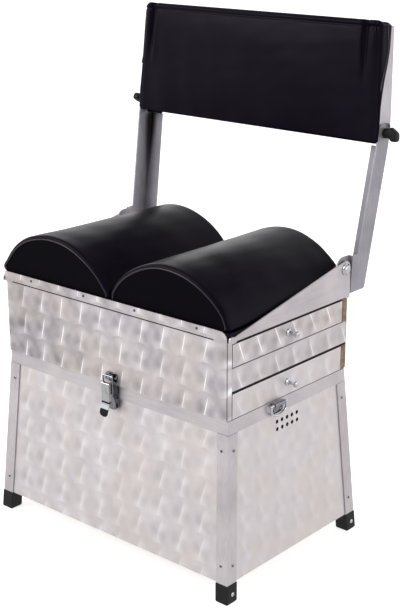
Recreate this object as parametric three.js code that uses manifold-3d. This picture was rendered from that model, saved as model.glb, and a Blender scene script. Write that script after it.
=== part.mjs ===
// Seat box with two side drawers, twin bolsters and a folding backrest.
// Lengths are in millimetres, +X to the right, +Y to the back, +Z up.
import * as THREE from 'three';
import { mergeVertices } from 'three/addons/utils/BufferGeometryUtils.js';
import Module from 'manifold-3d';

const wasm = await Module();
wasm.setup();

// Driving dimensions of the flared base
const BASE_TOP_HALF_X = 240;
const BASE_TOP_HALF_Y = 147.5;
const FLARE_OUT_X = 15.5;
const FLARE_OUT_Y = 19.7;
const BASE_Z = 31.6;
const SEAM_Z = 291.5;
const GAP = 0.3;
const RUN_CLEAR = 0.08;
const SHEET = 1.2;
const FOOT_SIDE = 24;
const FOOT_PROUD = 1;
const FOOT_CHAMFER = 1.5;
const FOOT_SCREW_R = 3.6;
const FOOT_SCREW_HEAD = 1.5;
const FOOT_SCREW_SHANK_R = 1.6;
const FOOT_SCREW_LEN = 9;
const FOOT_SCREW_Z = 15.5;
const ANGLE_LEG = 22;
const ANGLE_T = 1.8;
const RIM_H = 22;
const RIM_T = 1.8;
const RIM_LIP = 14.5;
const WALL_T = 9;
const FLOOR_T = 6;
const RIVET_R = 3.1;
const RIVET_H = 1.3;
const RIVET_IN = 12.5;
const RIVET_LOW_Z = 61;
const RIVET_HIGH_Z = 243.5;
const VENT_R = 3.4;
const VENT_PITCH = 12.6;
const VENT_ROW_Z = 254.3;
const VENT_ROW_STEP = 12.4;
const VENT_FIRST_Y = -30;
const VENT_COLUMNS = 5;
const VENT_ROWS = 2;
const VENT_SIDES = 10;
const RIVET_SIDES = 10;
const WIRE_SIDES = 10;

// Strap ring on each side of the base
const STRAP_Y = -33.5;
const STRAP_PLATE_W = 26;
const STRAP_PLATE_Z0 = 271;
const STRAP_PLATE_T = 1.5;
const STRAP_AXIS_Z = 287.4;
const STRAP_AXIS_OUT = 5.2;
const STRAP_BARREL_R = 3.7;
const RING_WIRE_R = 2.2;
const RING_HALF_W = 19.5;
const RING_DROP = 21;
const RING_ARM_SHARE = 0.42;
const RING_STEPS = 14;
const STRAP_RIVET_IN = 5;
const STRAP_RIVET_Z = 276.5;

// Draw latch at the front
const LATCH_X = 3;
const LATCH_PLATE_HALF = 14;
const LATCH_PLATE_Z0 = 249;
const LATCH_PLATE_Z1 = 290.6;
const LATCH_T = 1.5;
const LATCH_AXIS_OUT = 9;
const LATCH_PIVOT_Z = 292;
const CHEEK_IN = 5.2;
const CHEEK_OUT = 6.6;
const CHEEK_REACH = 4.2;
const CHEEK_Z0 = 262;
const LEVER_HALF = 8.3;
const LEVER_T = 1.3;
const LEVER_FRONT = 6.6;
const LEVER_TOP = 5.6;
const LEVER_DEPTH = 9;
const LEVER_LOW_Z = 262;
const LEVER_TIP_Z = 242.5;
const LEVER_TIP_OUT = 5.5;
const PIVOT_PIN_R = 1.5;
const BAIL_WIRE_R = 1.2;
const BAIL_DROP = 12;
const BAIL_HALF = 10;
const BAIL_TOP_Z = 308;
const KEEPER_HALF = 13;
const KEEPER_Z0 = 297.5;
const KEEPER_Z1 = 313;
const HOOK_HALF = 7;
const HOOK_Z = 303;
const HOOK_OUT = 5.6;
const HOOK_RISE = 6.5;

// Hinge along the back edge
const HINGE_AXIS_OUT = 4;
const HINGE_R = 3.2;
const HINGE_PIN_R = 1.6;
const HINGE_END_IN = 15;
const HINGE_KNUCKLES = 9;
const HINGE_LEAF = 15;
const HINGE_T = 1.5;

// Drawer case above the base
const CASE_INSET_X = 0.7;
const CASE_OVERHANG_Y = 3.5;
const CASE_HALF_X = BASE_TOP_HALF_X - CASE_INSET_X;
const CASE_HALF_Y = BASE_TOP_HALF_Y + CASE_OVERHANG_Y;
const LATCH_PIVOT_Y = -CASE_HALF_Y - LATCH_AXIS_OUT;
const HINGE_Y = CASE_HALF_Y + HINGE_AXIS_OUT;
const HINGE_HALF_X = BASE_TOP_HALF_X - HINGE_END_IN;
const CASE_Z0 = SEAM_Z + GAP;
const CASE_Z1 = 414.3;
const CASE_RETURN = 12;
const CASE_WALL = 10;
const CASE_REAR_WALL = 12;
const CASE_FLOOR = 6;
const DRAWER_FRONT_T = 9.4;
const LOW_FRONT_Z1 = 332.6;
const MID_Z1 = 372.1;
const TOP_FRONT_Z0 = 373.4;
const TOP_FRONT_Z1 = 412.9;
const BATTEN_INSET = 8;
const TRAY_WALL = 6;
const TRAY_FLOOR = 4;
const TRAY_BACK_IN = 18.3;
const TRAY_BACK_X = TRAY_BACK_IN - CASE_HALF_X;
const TRAY_SIDE_CLEAR = 2;
const TRAY_H = 32;
const PULL_Y = -4;
const PULL_LEN = 19;
const PULL_R = 3;
const PULL_HEAD_R = 5;
const PULL_FLANGE_R = 6;

// Seat board, front trim, side plates and bolsters
const BOARD_Z0 = 417;
const BOARD_Z1 = 430.5;
const BOARD_BACK_IN = 0.6;
const BOARD_BACK_Y = CASE_HALF_Y - BOARD_BACK_IN;
const TRIM_PROUD = 2;
const TRIM_OUT_Y = CASE_HALF_Y + TRIM_PROUD;
const TRIM_T = 1.5;
const TRIM_Z1 = 432;
const TRIM_END_OUT = 1.7;
const TRIM_SLOT_LEFT_IN = 14.3;
const TRIM_SLOT_RIGHT_IN = 21.3;
const TRIM_END_X = CASE_HALF_X + TRIM_END_OUT;
const TRIM_SLOT_LEFT = TRIM_SLOT_LEFT_IN - CASE_HALF_X;
const TRIM_SLOT_RIGHT = CASE_HALF_X - TRIM_SLOT_RIGHT_IN;
const TRIM_CORNER_R = 13;
const TRIM_SMALL_R = 3;
const NAIL_R = 2.2;
const NAIL_H = 0.9;
const NAIL_Z = 426.6;
const NAIL_SHARES = [-0.738, -0.2286, 0.2382, 0.7639];
const PLATE_OUT = 4.8;
const PLATE_IN_X = CASE_HALF_X + PLATE_OUT;
const PLATE_T = 2.4;
const PLATE_FRONT_TOP_Z = 434;
const PLATE_HUMP_R = 13.4;
const PLATE_CORNER_R = 6;
const PIVOT_IN = 18;
const PIVOT_Y = CASE_HALF_Y - PIVOT_IN;
const PIVOT_Z = 464;
const BOLT_HEAD_R = 7.6;
const BOLT_HEAD_H = 4.6;
const BOLT_R = 4;
const BOLT_NUT_R = 6;
const BOLT_NUT_T = 4;
const BOLSTER_END_IN = 1.5;
const BOLSTER_HALF_Y = CASE_HALF_Y - BOLSTER_END_IN;
const BOLSTER_EDGE = 5;
const BOLSTER_SIDE_IN = 4.1;
const BOLSTER_W = PLATE_IN_X - BOLSTER_SIDE_IN;
const BOLSTER_H = 78;
const BOLSTER_RISE = 0.7;
// Arch sections as [across, up] shares of the bolster's width and height
const BACK_ARCH_SHARES = [
  [0.005, 0], [0.004, 0.126], [0.035, 0.273], [0.083, 0.459], [0.154, 0.645], [0.242, 0.805], [0.333, 0.914],
  [0.417, 0.974], [0.5, 0.995], [0.583, 0.974], [0.667, 0.905], [0.767, 0.767], [0.8625, 0.555],
  [0.925, 0.376], [0.965, 0.235], [0.986, 0.106], [0.99, 0.029], [0.985, 0],
];
const RIGHT_ARCH_SHARES = [
  [0.005, 0], [0.004, 0.126], [0.028, 0.273], [0.075, 0.459], [0.15, 0.651], [0.242, 0.812], [0.333, 0.92],
  [0.417, 0.978], [0.5, 0.991], [0.583, 0.972], [0.675, 0.914], [0.779, 0.786], [0.875, 0.606],
  [0.942, 0.427], [0.981, 0.273], [1, 0.126], [1.003, 0.036], [0.998, 0],
];
const LEFT_ARCH_SHARES = [
  [0.005, 0], [0.006, 0.126], [0.035, 0.241], [0.083, 0.408], [0.154, 0.594], [0.242, 0.76], [0.333, 0.888],
  [0.425, 0.965], [0.517, 0.994], [0.608, 0.985], [0.708, 0.927], [0.804, 0.824], [0.892, 0.658],
  [0.954, 0.478], [0.992, 0.318], [1.01, 0.164], [1.013, 0.062], [1.008, 0],
];

// Lower posts of the backrest
const EAR_CLEAR = 1.9;
const WEB_PROUD = 4.3;
const EAR_X = PLATE_IN_X - EAR_CLEAR;
const WEB_X = PLATE_IN_X + WEB_PROUD;
const POST_T = 2.5;
const POST_SPLAY = 0.0443;
const POST_BEND_Z = 649;
const EAR_R = 19.5;
const POST_BELOW = 43;
const POST_BOTTOM_Z = PIVOT_Z - POST_BELOW;
const POST_STEP_Z = 483.2;
const POST_TOP_Z = 685.5;
const POST_FRONT_BACK = 11.8;
const POST_FRONT_LEAN = 0.1755;
const POST_BACK_BACK = 35.5;
const POST_BACK_LEAN = 0.166;
const POST_HEEL_IN = 3.6;
const POST_FRONT_STEP_Y = CASE_HALF_Y + POST_FRONT_BACK;
const POST_BACK_Y = CASE_HALF_Y + POST_BACK_BACK;
const POST_HEEL_Y = CASE_HALF_Y - POST_HEEL_IN;
const POST_HEEL_UP = 16;
const POST_HEEL_Z = POST_BOTTOM_Z + POST_HEEL_UP;
const EAR_FROM_DEG = 90;
const EAR_TO_DEG = 290;
const BACK_FLANGE = 29.7;
const POST_ROUND = 8;
const TAB_W = 14;
const TAB_H = 14;
const TAB_Z1 = POST_BOTTOM_Z + TAB_H;

// Upper posts, pad and clamp knobs
const KNOB_BACK = 62;
const KNOB_Y = CASE_HALF_Y + KNOB_BACK;
const KNOB_Z = 671;
const UPPER_FRONT_BACK = 41;
const UPPER_FRONT_Y = CASE_HALF_Y + UPPER_FRONT_BACK;
const UPPER_FRONT_Z = 655;
const UPPER_LEAN = 0.08;
const UPPER_IN = 1.6;
const UPPER_DEPTH = 38;
const UPPER_ABOVE = 163;
const UPPER_TOP_Z = KNOB_Z + UPPER_ABOVE;
const UPPER_BEND_Z = 690;
const UPPER_TAPER = 0.055;
const WEB_GAP = 0.4;
const KNOB_GAP = 0.4;
const BOARD_FLANGE = 18;
const BOARD_FLANGE_DEPTH = 29.6;
const BACK_BOARD_DEPTH = 20.7;
const BACK_BOARD_T = 8.5;
const BACK_BOARD_Z0 = 688;
const BACK_BOARD_ABOVE = 1;
const BACK_BOARD_Z1 = UPPER_TOP_Z + BACK_BOARD_ABOVE;
const BACK_BOARD_EDGE = 1.5;
const STUD_R = 3;
const STUD_HEAD_R = 6.5;
const STUD_HEAD_T = 2.6;
const STUD_OUT = 13;
const HUB_R = 8.2;
const HUB_LEN = 12;
const WING_HALF_L = 11.5;
const WING_HALF_W = 6.5;
const WING_T = 12;
const LEFT_KNOB_TURN_DEG = 233;
const WING_ROUND = 5;
const WING_SLANT_SHARE = 0.3;
const WING_TOP_SHARE = 0.9;
const PAD_Z0 = 656;
const PAD_ABOVE = 8;
const PAD_Z1 = UPPER_TOP_Z + PAD_ABOVE;
const PAD_CROWN = 8;
const PAD_BACK = 27;
const PAD_SKIN = 2.4;
const PAD_ROUND = 7;
const PAD_SLOT = 0.6;
const TAIL_AHEAD = 0.6;
const PAD_STRIP = 22;
const PAD_VALLEY = 3.2;
const PAD_VALLEY_W = 6;
const PAD_INSETS_X = [0, 2, 7, 12, 17, 22, 28, 36, 55, 85, 120, 160, 205];
const PAD_INSETS_Z = [0, 2.5, 8, 18, 34, 60];
const TAIL_W = 7;
const TAIL_Z0 = 643;
const TAIL_DEPTH = 4.6;

// Shares and counts
// Wrapped edge at the pad's ends as [depth, height] shares of the pad's depth and height
const WRAP_EDGE_SHARES = [
  [0.963, 1.0027], [0.889, 0.7742], [0.7407, 0.6667], [0.4074, 0.5215], [0.2222, 0.3978], [0.0741, 0.2903],
  [-0.4444, 0.2043], [-0.4444, -0.043],
];
const PAD_EDGE_SHARE = 0.42;
const BOLSTER_SAG_SHARE = 0.012;
const DOME_SIDES = 14;
const BOLSTER_STEPS = 40;
const ROUND_SIDES = 24;

// Materials
const COLOURS = {
  jewelled: [0xc9c7ca, 0.34, 0.85],
  aluminium: [0xb9b8bb, 0.4, 0.85],
  chrome: [0xd8d9dc, 0.16, 1],
  ply: [0x8a6544, 0.75, 0],
  plastic: [0x141416, 0.5, 0],
  vinyl: [0x101012, 0.42, 0],
};

function material(key) {
  const [color, roughness, metalness] = COLOURS[key];
  return new THREE.MeshStandardMaterial({ color, roughness, metalness });
}

// Boolean helpers
function toManifold(geometry) {
  let g = geometry.clone();
  g.deleteAttribute('normal');
  g.deleteAttribute('uv');
  g = mergeVertices(g, 1e-4);
  const mesh = new wasm.Mesh({
    numProp: 3,
    vertProperties: new Float32Array(g.attributes.position.array),
    triVerts: new Uint32Array(g.index.array),
  });
  return new wasm.Manifold(mesh);
}

function fromManifold(solid) {
  const mesh = solid.getMesh();
  const g = new THREE.BufferGeometry();
  g.setAttribute('position', new THREE.BufferAttribute(new Float32Array(mesh.vertProperties), 3));
  g.setIndex(new THREE.BufferAttribute(new Uint32Array(mesh.triVerts), 1));
  const flat = g.toNonIndexed();
  flat.computeVertexNormals();
  return flat;
}

function join(...geometries) {
  let solid = toManifold(geometries[0]);
  for (const g of geometries.slice(1)) solid = solid.add(toManifold(g));
  return fromManifold(solid);
}

function cut(geometry, ...tools) {
  let solid = toManifold(geometry);
  for (const t of tools) solid = solid.subtract(toManifold(t));
  return fromManifold(solid);
}

function common(a, b) {
  return fromManifold(toManifold(a).intersect(toManifold(b)));
}

// Plain shapes
function box(x0, x1, y0, y1, z0, z1) {
  const g = new THREE.BoxGeometry(x1 - x0, y1 - y0, z1 - z0);
  g.translate((x0 + x1) / 2, (y0 + y1) / 2, (z0 + z1) / 2);
  return g;
}

function counterClockwise(points) {
  const pts = points.map(([a, b]) => new THREE.Vector2(a, b));
  if (THREE.ShapeUtils.area(pts) < 0) pts.reverse();
  return pts;
}

function extruded(points, depth) {
  const shape = new THREE.Shape(counterClockwise(points));
  return new THREE.ExtrudeGeometry(shape, { depth, bevelEnabled: false, curveSegments: ROUND_SIDES });
}

// Outline in Y and Z, drawn along X
function prismX(points, x0, x1) {
  const g = extruded(points, x1 - x0);
  const turn = new THREE.Matrix4().set(0, 0, 1, x0, 1, 0, 0, 0, 0, 1, 0, 0, 0, 0, 0, 1);
  return g.applyMatrix4(turn);
}

// Outline in X and Z, drawn along Y
function prismY(points, y0, y1) {
  const g = extruded(points, y1 - y0);
  g.rotateX(Math.PI / 2);
  g.translate(0, y1, 0);
  return g;
}

function rod(radius, from, to, sides = ROUND_SIDES) {
  const a = new THREE.Vector3(...from);
  const b = new THREE.Vector3(...to);
  const g = new THREE.CylinderGeometry(radius, radius, a.distanceTo(b), sides);
  const way = b.clone().sub(a).normalize();
  g.applyQuaternion(new THREE.Quaternion().setFromUnitVectors(new THREE.Vector3(0, 1, 0), way));
  const mid = a.add(b).multiplyScalar(0.5);
  g.translate(mid.x, mid.y, mid.z);
  return g;
}

// Turned shape: profile of [radius, height] pairs along the given way
function turned(profile, at, way, sides = ROUND_SIDES) {
  const g = new THREE.LatheGeometry(profile.map(([r, h]) => new THREE.Vector2(r, h)), sides);
  const axis = new THREE.Vector3(...way).normalize();
  g.applyQuaternion(new THREE.Quaternion().setFromUnitVectors(new THREE.Vector3(0, 1, 0), axis));
  g.translate(...at);
  return g;
}

function dome(radius, height, sink, at, way) {
  const profile = [[0, -sink], [radius, -sink], [radius, height * 0.25]];
  for (const t of [0.35, 0.7, 1]) {
    const a = (t * Math.PI) / 2;
    profile.push([radius * Math.cos(a), height * (0.25 + 0.75 * Math.sin(a))]);
  }
  profile[profile.length - 1][0] = 0;
  return turned(profile, at, way, RIVET_SIDES);
}

function arc(cy, cz, r, fromDeg, toDeg, steps) {
  const pts = [];
  for (let i = 0; i <= steps; i += 1) {
    const a = ((fromDeg + ((toDeg - fromDeg) * i) / steps) * Math.PI) / 180;
    pts.push([cy + r * Math.cos(a), cz + r * Math.sin(a)]);
  }
  return pts;
}

// Round wire along a path that lies in one plane, mitred at its corners
function wire(path, radius, across, closed) {
  const pts = path.map((p) => new THREE.Vector3(...p));
  const side = new THREE.Vector3(...across);
  const n = pts.length;
  const pos = [];
  const index = [];
  const k = WIRE_SIDES;
  for (let i = 0; i < n; i += 1) {
    const before = closed || i > 0 ? pts[i].clone().sub(pts[(i + n - 1) % n]).normalize() : null;
    const after = closed || i + 1 < n ? pts[(i + 1) % n].clone().sub(pts[i]).normalize() : null;
    const way = (before || after).clone().add(after || before).normalize();
    const spread = 1 / way.dot(after || before);
    const flat = side.clone().cross(way);
    for (let j = 0; j < k; j += 1) {
      const a = (2 * Math.PI * j) / k;
      const p = pts[i].clone();
      p.addScaledVector(flat, radius * spread * Math.cos(a)).addScaledVector(side, radius * Math.sin(a));
      pos.push(p.x, p.y, p.z);
    }
  }
  const spans = closed ? n : n - 1;
  for (let i = 0; i < spans; i += 1) {
    for (let j = 0; j < k; j += 1) {
      const a = i * k + j;
      const b = i * k + ((j + 1) % k);
      const c = ((i + 1) % n) * k + ((j + 1) % k);
      const d = ((i + 1) % n) * k + j;
      index.push(a, b, c, a, c, d);
    }
  }
  for (let j = 1; j + 1 < k && !closed; j += 1) {
    const last = (n - 1) * k;
    index.push(0, j + 1, j, last, last + j, last + j + 1);
  }
  const g = new THREE.BufferGeometry();
  g.setAttribute('position', new THREE.Float32BufferAttribute(pos, 3));
  g.setIndex(index);
  g.computeVertexNormals();
  return g;
}

// Smooth outline through the given points
function smoothed(points, steps) {
  const curve = new THREE.SplineCurve(points.map(([a, b]) => new THREE.Vector2(a, b)));
  return curve.getPoints(steps).map((p) => [p.x, p.y]);
}

// Polygon with rounded corners; each entry is [a, b, radius]
function rounded(corners, steps = 5) {
  const out = [];
  const n = corners.length;
  for (let i = 0; i < n; i += 1) {
    const [ax, ay, r] = corners[i];
    if (!r) {
      out.push([ax, ay]);
      continue;
    }
    const p = new THREE.Vector2(ax, ay);
    const q = new THREE.Vector2(...corners[(i + n - 1) % n].slice(0, 2)).sub(p).normalize();
    const s = new THREE.Vector2(...corners[(i + 1) % n].slice(0, 2)).sub(p).normalize();
    const half = Math.acos(Math.max(-1, Math.min(1, q.dot(s)))) / 2;
    const reach = r / Math.tan(half);
    const a = p.clone().addScaledVector(q, reach);
    const b = p.clone().addScaledVector(s, reach);
    const c = p.clone().addScaledVector(q.clone().add(s).normalize(), r / Math.sin(half));
    const a0 = Math.atan2(a.y - c.y, a.x - c.x);
    let turn = Math.atan2(b.y - c.y, b.x - c.x) - a0;
    if (turn > Math.PI) turn -= 2 * Math.PI;
    if (turn < -Math.PI) turn += 2 * Math.PI;
    for (let k = 0; k <= steps; k += 1) {
      const t = a0 + (turn * k) / steps;
      out.push([c.x + r * Math.cos(t), c.y + r * Math.sin(t)]);
    }
  }
  return out;
}

// Solid between level sections with equal point counts, lowest first
function stacked(sections) {
  const n = sections[0].points.length;
  const flip = THREE.ShapeUtils.area(sections[0].points.map(([a, b]) => new THREE.Vector2(a, b))) < 0;
  const rows = sections.map((s) => (flip ? [...s.points].reverse() : s.points));
  const pos = [];
  rows.forEach((row, k) => row.forEach(([a, b]) => pos.push(a, b, sections[k].z)));
  const index = [];
  for (let k = 0; k + 1 < rows.length; k += 1) {
    for (let i = 0; i < n; i += 1) {
      const j = (i + 1) % n;
      const a = k * n + i;
      const b = k * n + j;
      index.push(a, b, b + n, a, b + n, a + n);
    }
  }
  const flat = rows[0].map(([a, b]) => new THREE.Vector2(a, b));
  const top = (rows.length - 1) * n;
  for (const [a, b, c] of THREE.ShapeUtils.triangulateShape(flat, [])) {
    index.push(c, b, a);
    index.push(top + a, top + b, top + c);
  }
  const g = new THREE.BufferGeometry();
  g.setAttribute('position', new THREE.Float32BufferAttribute(pos, 3));
  g.setIndex(index);
  g.computeVertexNormals();
  return g;
}

function mirrorX(geometry) {
  let g = geometry.clone();
  if (g.index) g = g.toNonIndexed();
  const p = g.attributes.position;
  for (let i = 0; i < p.count; i += 1) p.setX(i, -p.getX(i));
  for (let i = 0; i < p.count; i += 3) {
    const b = [p.getX(i + 1), p.getY(i + 1), p.getZ(i + 1)];
    p.setXYZ(i + 1, p.getX(i + 2), p.getY(i + 2), p.getZ(i + 2));
    p.setXYZ(i + 2, ...b);
  }
  g.deleteAttribute('uv');
  g.computeVertexNormals();
  return g;
}

// Slides points along X in proportion to their height above a level
function sheared(geometry, slope, level) {
  const g = geometry.clone();
  const p = g.attributes.position;
  for (let i = 0; i < p.count; i += 1) p.setX(i, p.getX(i) + slope * (p.getZ(i) - level));
  g.computeVertexNormals();
  return g;
}

// Flare of the base
function flare(z) {
  const t = (SEAM_Z - z) / (SEAM_Z - BASE_Z);
  return [
    BASE_TOP_HALF_X + FLARE_OUT_X * t,
    BASE_TOP_HALF_Y + FLARE_OUT_Y * t,
  ];
}

function flaredBlock(z0, z1, inset) {
  const ring = (z) => {
    const [x, y] = flare(z).map((v) => v - inset);
    return { z, points: [[-x, -y], [x, -y], [x, y], [-x, y]] };
  };
  return stacked([ring(z0), ring(z1)]);
}

const RIM_Z0 = SEAM_Z - RIM_H;
const RIM_TOP = SEAM_Z - GAP;
const PANEL_OUT = ANGLE_T + GAP;
const PANEL_IN = PANEL_OUT + SHEET;
const CARCASS_OUT = PANEL_IN + GAP;
const CARCASS_TOP = RIM_TOP - RIM_T - GAP;

function ventHoles(radius) {
  const holes = [];
  for (let row = 0; row < VENT_ROWS; row += 1) {
    for (let col = 0; col < VENT_COLUMNS; col += 1) {
      const y = VENT_FIRST_Y + col * VENT_PITCH;
      const z = VENT_ROW_Z - row * VENT_ROW_STEP;
      const reach = BASE_TOP_HALF_X + FLARE_OUT_X;
      const depth = RIM_LIP;
      holes.push(rod(radius, [flare(z)[0] - CARCASS_OUT - depth, y, z], [reach, y, z], VENT_SIDES));
    }
  }
  return holes;
}

function baseBox() {
  const outer = flaredBlock(BASE_Z, CARCASS_TOP, CARCASS_OUT);
  const inner = flaredBlock(BASE_Z + FLOOR_T, SEAM_Z, CARCASS_OUT + WALL_T);
  const holes = ventHoles(VENT_R);
  return cut(outer, inner, ...holes, ...holes.map(mirrorX));
}

function frontPanel() {
  const row = (z) => {
    const [x, y] = flare(z);
    const s = x - PANEL_OUT;
    return { z, points: [[-s, PANEL_OUT - y], [s, PANEL_OUT - y], [s, PANEL_IN - y], [-s, PANEL_IN - y]] };
  };
  return stacked([row(BASE_Z), row(CARCASS_TOP)]);
}

function sidePanel() {
  const row = (z) => {
    const [x, y] = flare(z);
    const s = y - PANEL_IN - GAP;
    return { z, points: [[x - PANEL_IN, -s], [x - PANEL_OUT, -s], [x - PANEL_OUT, s], [x - PANEL_IN, s]] };
  };
  return cut(stacked([row(BASE_Z), row(CARCASS_TOP)]), ...ventHoles(VENT_R));
}

function rimBand() {
  return cut(
    flaredBlock(RIM_Z0, RIM_TOP, 0),
    flaredBlock(RIM_Z0 - RIM_T, RIM_TOP - RIM_T, RIM_T),
    flaredBlock(RIM_Z0 - RIM_T, SEAM_Z + RIM_T, RIM_LIP),
  );
}

// Front right angle; the other three are mirrored from it
function cornerAngle() {
  const row = (z) => {
    const [x, y] = flare(z);
    const t = ANGLE_T;
    const l = ANGLE_LEG;
    return {
      z,
      points: [[x, -y], [x, l - y], [x - t, l - y], [x - t, t - y], [x - l, t - y], [x - l, -y]],
    };
  };
  const parts = [stacked([row(BASE_Z), row(RIM_Z0 - GAP)])];
  for (const z of [RIVET_LOW_Z, RIVET_HIGH_Z]) {
    const [x, y] = flare(z);
    parts.push(dome(RIVET_R, RIVET_H, ANGLE_T / 2, [x - RIVET_IN, -y, z], [0, -1, 0]));
    parts.push(dome(RIVET_R, RIVET_H, ANGLE_T / 2, [x, RIVET_IN - y, z], [1, 0, 0]));
  }
  return join(...parts);
}

function mirrorY(geometry) {
  const g = mirrorX(geometry);
  g.rotateZ(Math.PI);
  return g;
}

function foot() {
  const row = (z, inset) => {
    const [x, y] = flare(z).map((v) => v + FOOT_PROUD);
    const s = FOOT_SIDE;
    const i = inset;
    return { z, points: [[x - s + i, i - y], [x - i, i - y], [x - i, s - y - i], [x - s + i, s - y - i]] };
  };
  const top = BASE_Z - GAP;
  const block = stacked([row(0, FOOT_CHAMFER), row(FOOT_CHAMFER, 0), row(top, 0)]);
  const [x, y] = flare(FOOT_SCREW_Z).map((v) => v + FOOT_PROUD);
  const at = FOOT_SIDE / 2 - y;
  const z = FOOT_SCREW_Z;
  const hole = rod(FOOT_SCREW_SHANK_R + GAP, [x - FOOT_SCREW_LEN - GAP, at, z], [x + GAP * 2, at, z], DOME_SIDES);
  return cut(block, hole);
}

function footScrew() {
  const [x, y] = flare(FOOT_SCREW_Z).map((v) => v + FOOT_PROUD);
  const at = [x + GAP * 2, FOOT_SIDE / 2 - y, FOOT_SCREW_Z];
  const s = FOOT_SCREW_SHANK_R;
  const h = FOOT_SCREW_HEAD;
  const profile = [
    [0, -FOOT_SCREW_LEN], [s, -FOOT_SCREW_LEN], [s, 0], [FOOT_SCREW_R, 0],
    [FOOT_SCREW_R, h * 0.5], [FOOT_SCREW_R * 0.8, h * 0.9], [0, h],
  ];
  return turned(profile, at, [1, 0, 0], DOME_SIDES);
}

// Right-hand strap plate with its barrel
function strapPlate() {
  const face = flare(STRAP_PLATE_Z0)[0] + GAP;
  const axis = face + STRAP_AXIS_OUT;
  const y0 = STRAP_Y - STRAP_PLATE_W / 2;
  const y1 = STRAP_Y + STRAP_PLATE_W / 2;
  const plate = box(face, face + STRAP_PLATE_T, y0, y1, STRAP_PLATE_Z0, STRAP_AXIS_Z + STRAP_BARREL_R * 0.6);
  const barrel = rod(STRAP_BARREL_R, [axis, y0, STRAP_AXIS_Z], [axis, y1, STRAP_AXIS_Z]);
  const neck = box(face, axis, y0, y1, STRAP_AXIS_Z, STRAP_AXIS_Z + STRAP_BARREL_R * 0.85);
  const rivets = [y0 + STRAP_RIVET_IN, y1 - STRAP_RIVET_IN].map(
    (y) => dome(RIVET_R * 0.8, RIVET_H, STRAP_PLATE_T / 2, [face + STRAP_PLATE_T, y, STRAP_RIVET_Z], [1, 0, 0]),
  );
  const r = RING_WIRE_R + RUN_CLEAR;
  const bore = rod(r, [axis, y0 - GAP, STRAP_AXIS_Z], [axis, y1 + GAP, STRAP_AXIS_Z]);
  return cut(join(plate, barrel, neck, ...rivets), bore);
}

// Ring of round wire: bar through the barrel, two arms and a half oval
function strapRing() {
  const x = flare(STRAP_PLATE_Z0)[0] + GAP + STRAP_AXIS_OUT;
  const w = RING_HALF_W;
  const y = STRAP_Y;
  const path = [[x, y - w, STRAP_AXIS_Z]];
  const drop = RING_DROP * RING_ARM_SHARE;
  for (let i = 0; i <= RING_STEPS; i += 1) {
    const a = Math.PI + (Math.PI * i) / RING_STEPS;
    path.push([x, y + w * Math.cos(a), STRAP_AXIS_Z - drop + (RING_DROP - drop) * Math.sin(a)]);
  }
  path.push([x, y + w, STRAP_AXIS_Z]);
  return wire(path, RING_WIRE_R, [1, 0, 0], true);
}

// Draw latch: base plate with two cheeks, lever, bail and keeper
function latchBase() {
  const off = GAP;
  const row = (z) => {
    const y = -flare(z)[1] - off;
    const h = LATCH_PLATE_HALF;
    return { z, points: [[LATCH_X - h, y - LATCH_T], [LATCH_X + h, y - LATCH_T], [LATCH_X + h, y], [LATCH_X - h, y]] };
  };
  const sheet = stacked([row(LATCH_PLATE_Z0), row(LATCH_PLATE_Z1)]);
  const h = LATCH_PLATE_HALF;
  const outline = rounded([
    [LATCH_X - h, LATCH_PLATE_Z0, h * 0.9], [LATCH_X + h, LATCH_PLATE_Z0, h * 0.9],
    [LATCH_X + h, LATCH_PLATE_Z1, 2 * LATCH_T], [LATCH_X - h, LATCH_PLATE_Z1, 2 * LATCH_T],
  ], 7);
  const plate = common(sheet, prismY(outline, -CASE_HALF_Y - HOOK_OUT, -BASE_TOP_HALF_Y + HOOK_OUT));
  const faceTop = -flare(LATCH_PLATE_Z1)[1] - off - LATCH_T / 2;
  const faceLow = -flare(CHEEK_Z0)[1] - off - LATCH_T / 2;
  const r = CHEEK_REACH;
  const clearY = -CASE_HALF_Y - 1.5 * LATCH_T;
  const side = [
    [faceLow, CHEEK_Z0], [faceTop, LATCH_PLATE_Z1], [clearY, LATCH_PLATE_Z1],
    ...arc(LATCH_PIVOT_Y, LATCH_PIVOT_Z, r, 45, 200, 9), [LATCH_PIVOT_Y, LATCH_PIVOT_Z - 2.2 * r],
  ];
  const cheek = (x0, x1) => prismX(side, LATCH_X + x0, LATCH_X + x1);
  const pin = rod(
    PIVOT_PIN_R + RUN_CLEAR,
    [LATCH_X - LEVER_HALF, LATCH_PIVOT_Y, LATCH_PIVOT_Z],
    [LATCH_X + LEVER_HALF, LATCH_PIVOT_Y, LATCH_PIVOT_Z],
  );
  return cut(join(plate, cheek(CHEEK_IN, CHEEK_OUT), cheek(-CHEEK_OUT, -CHEEK_IN)), pin);
}

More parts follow.
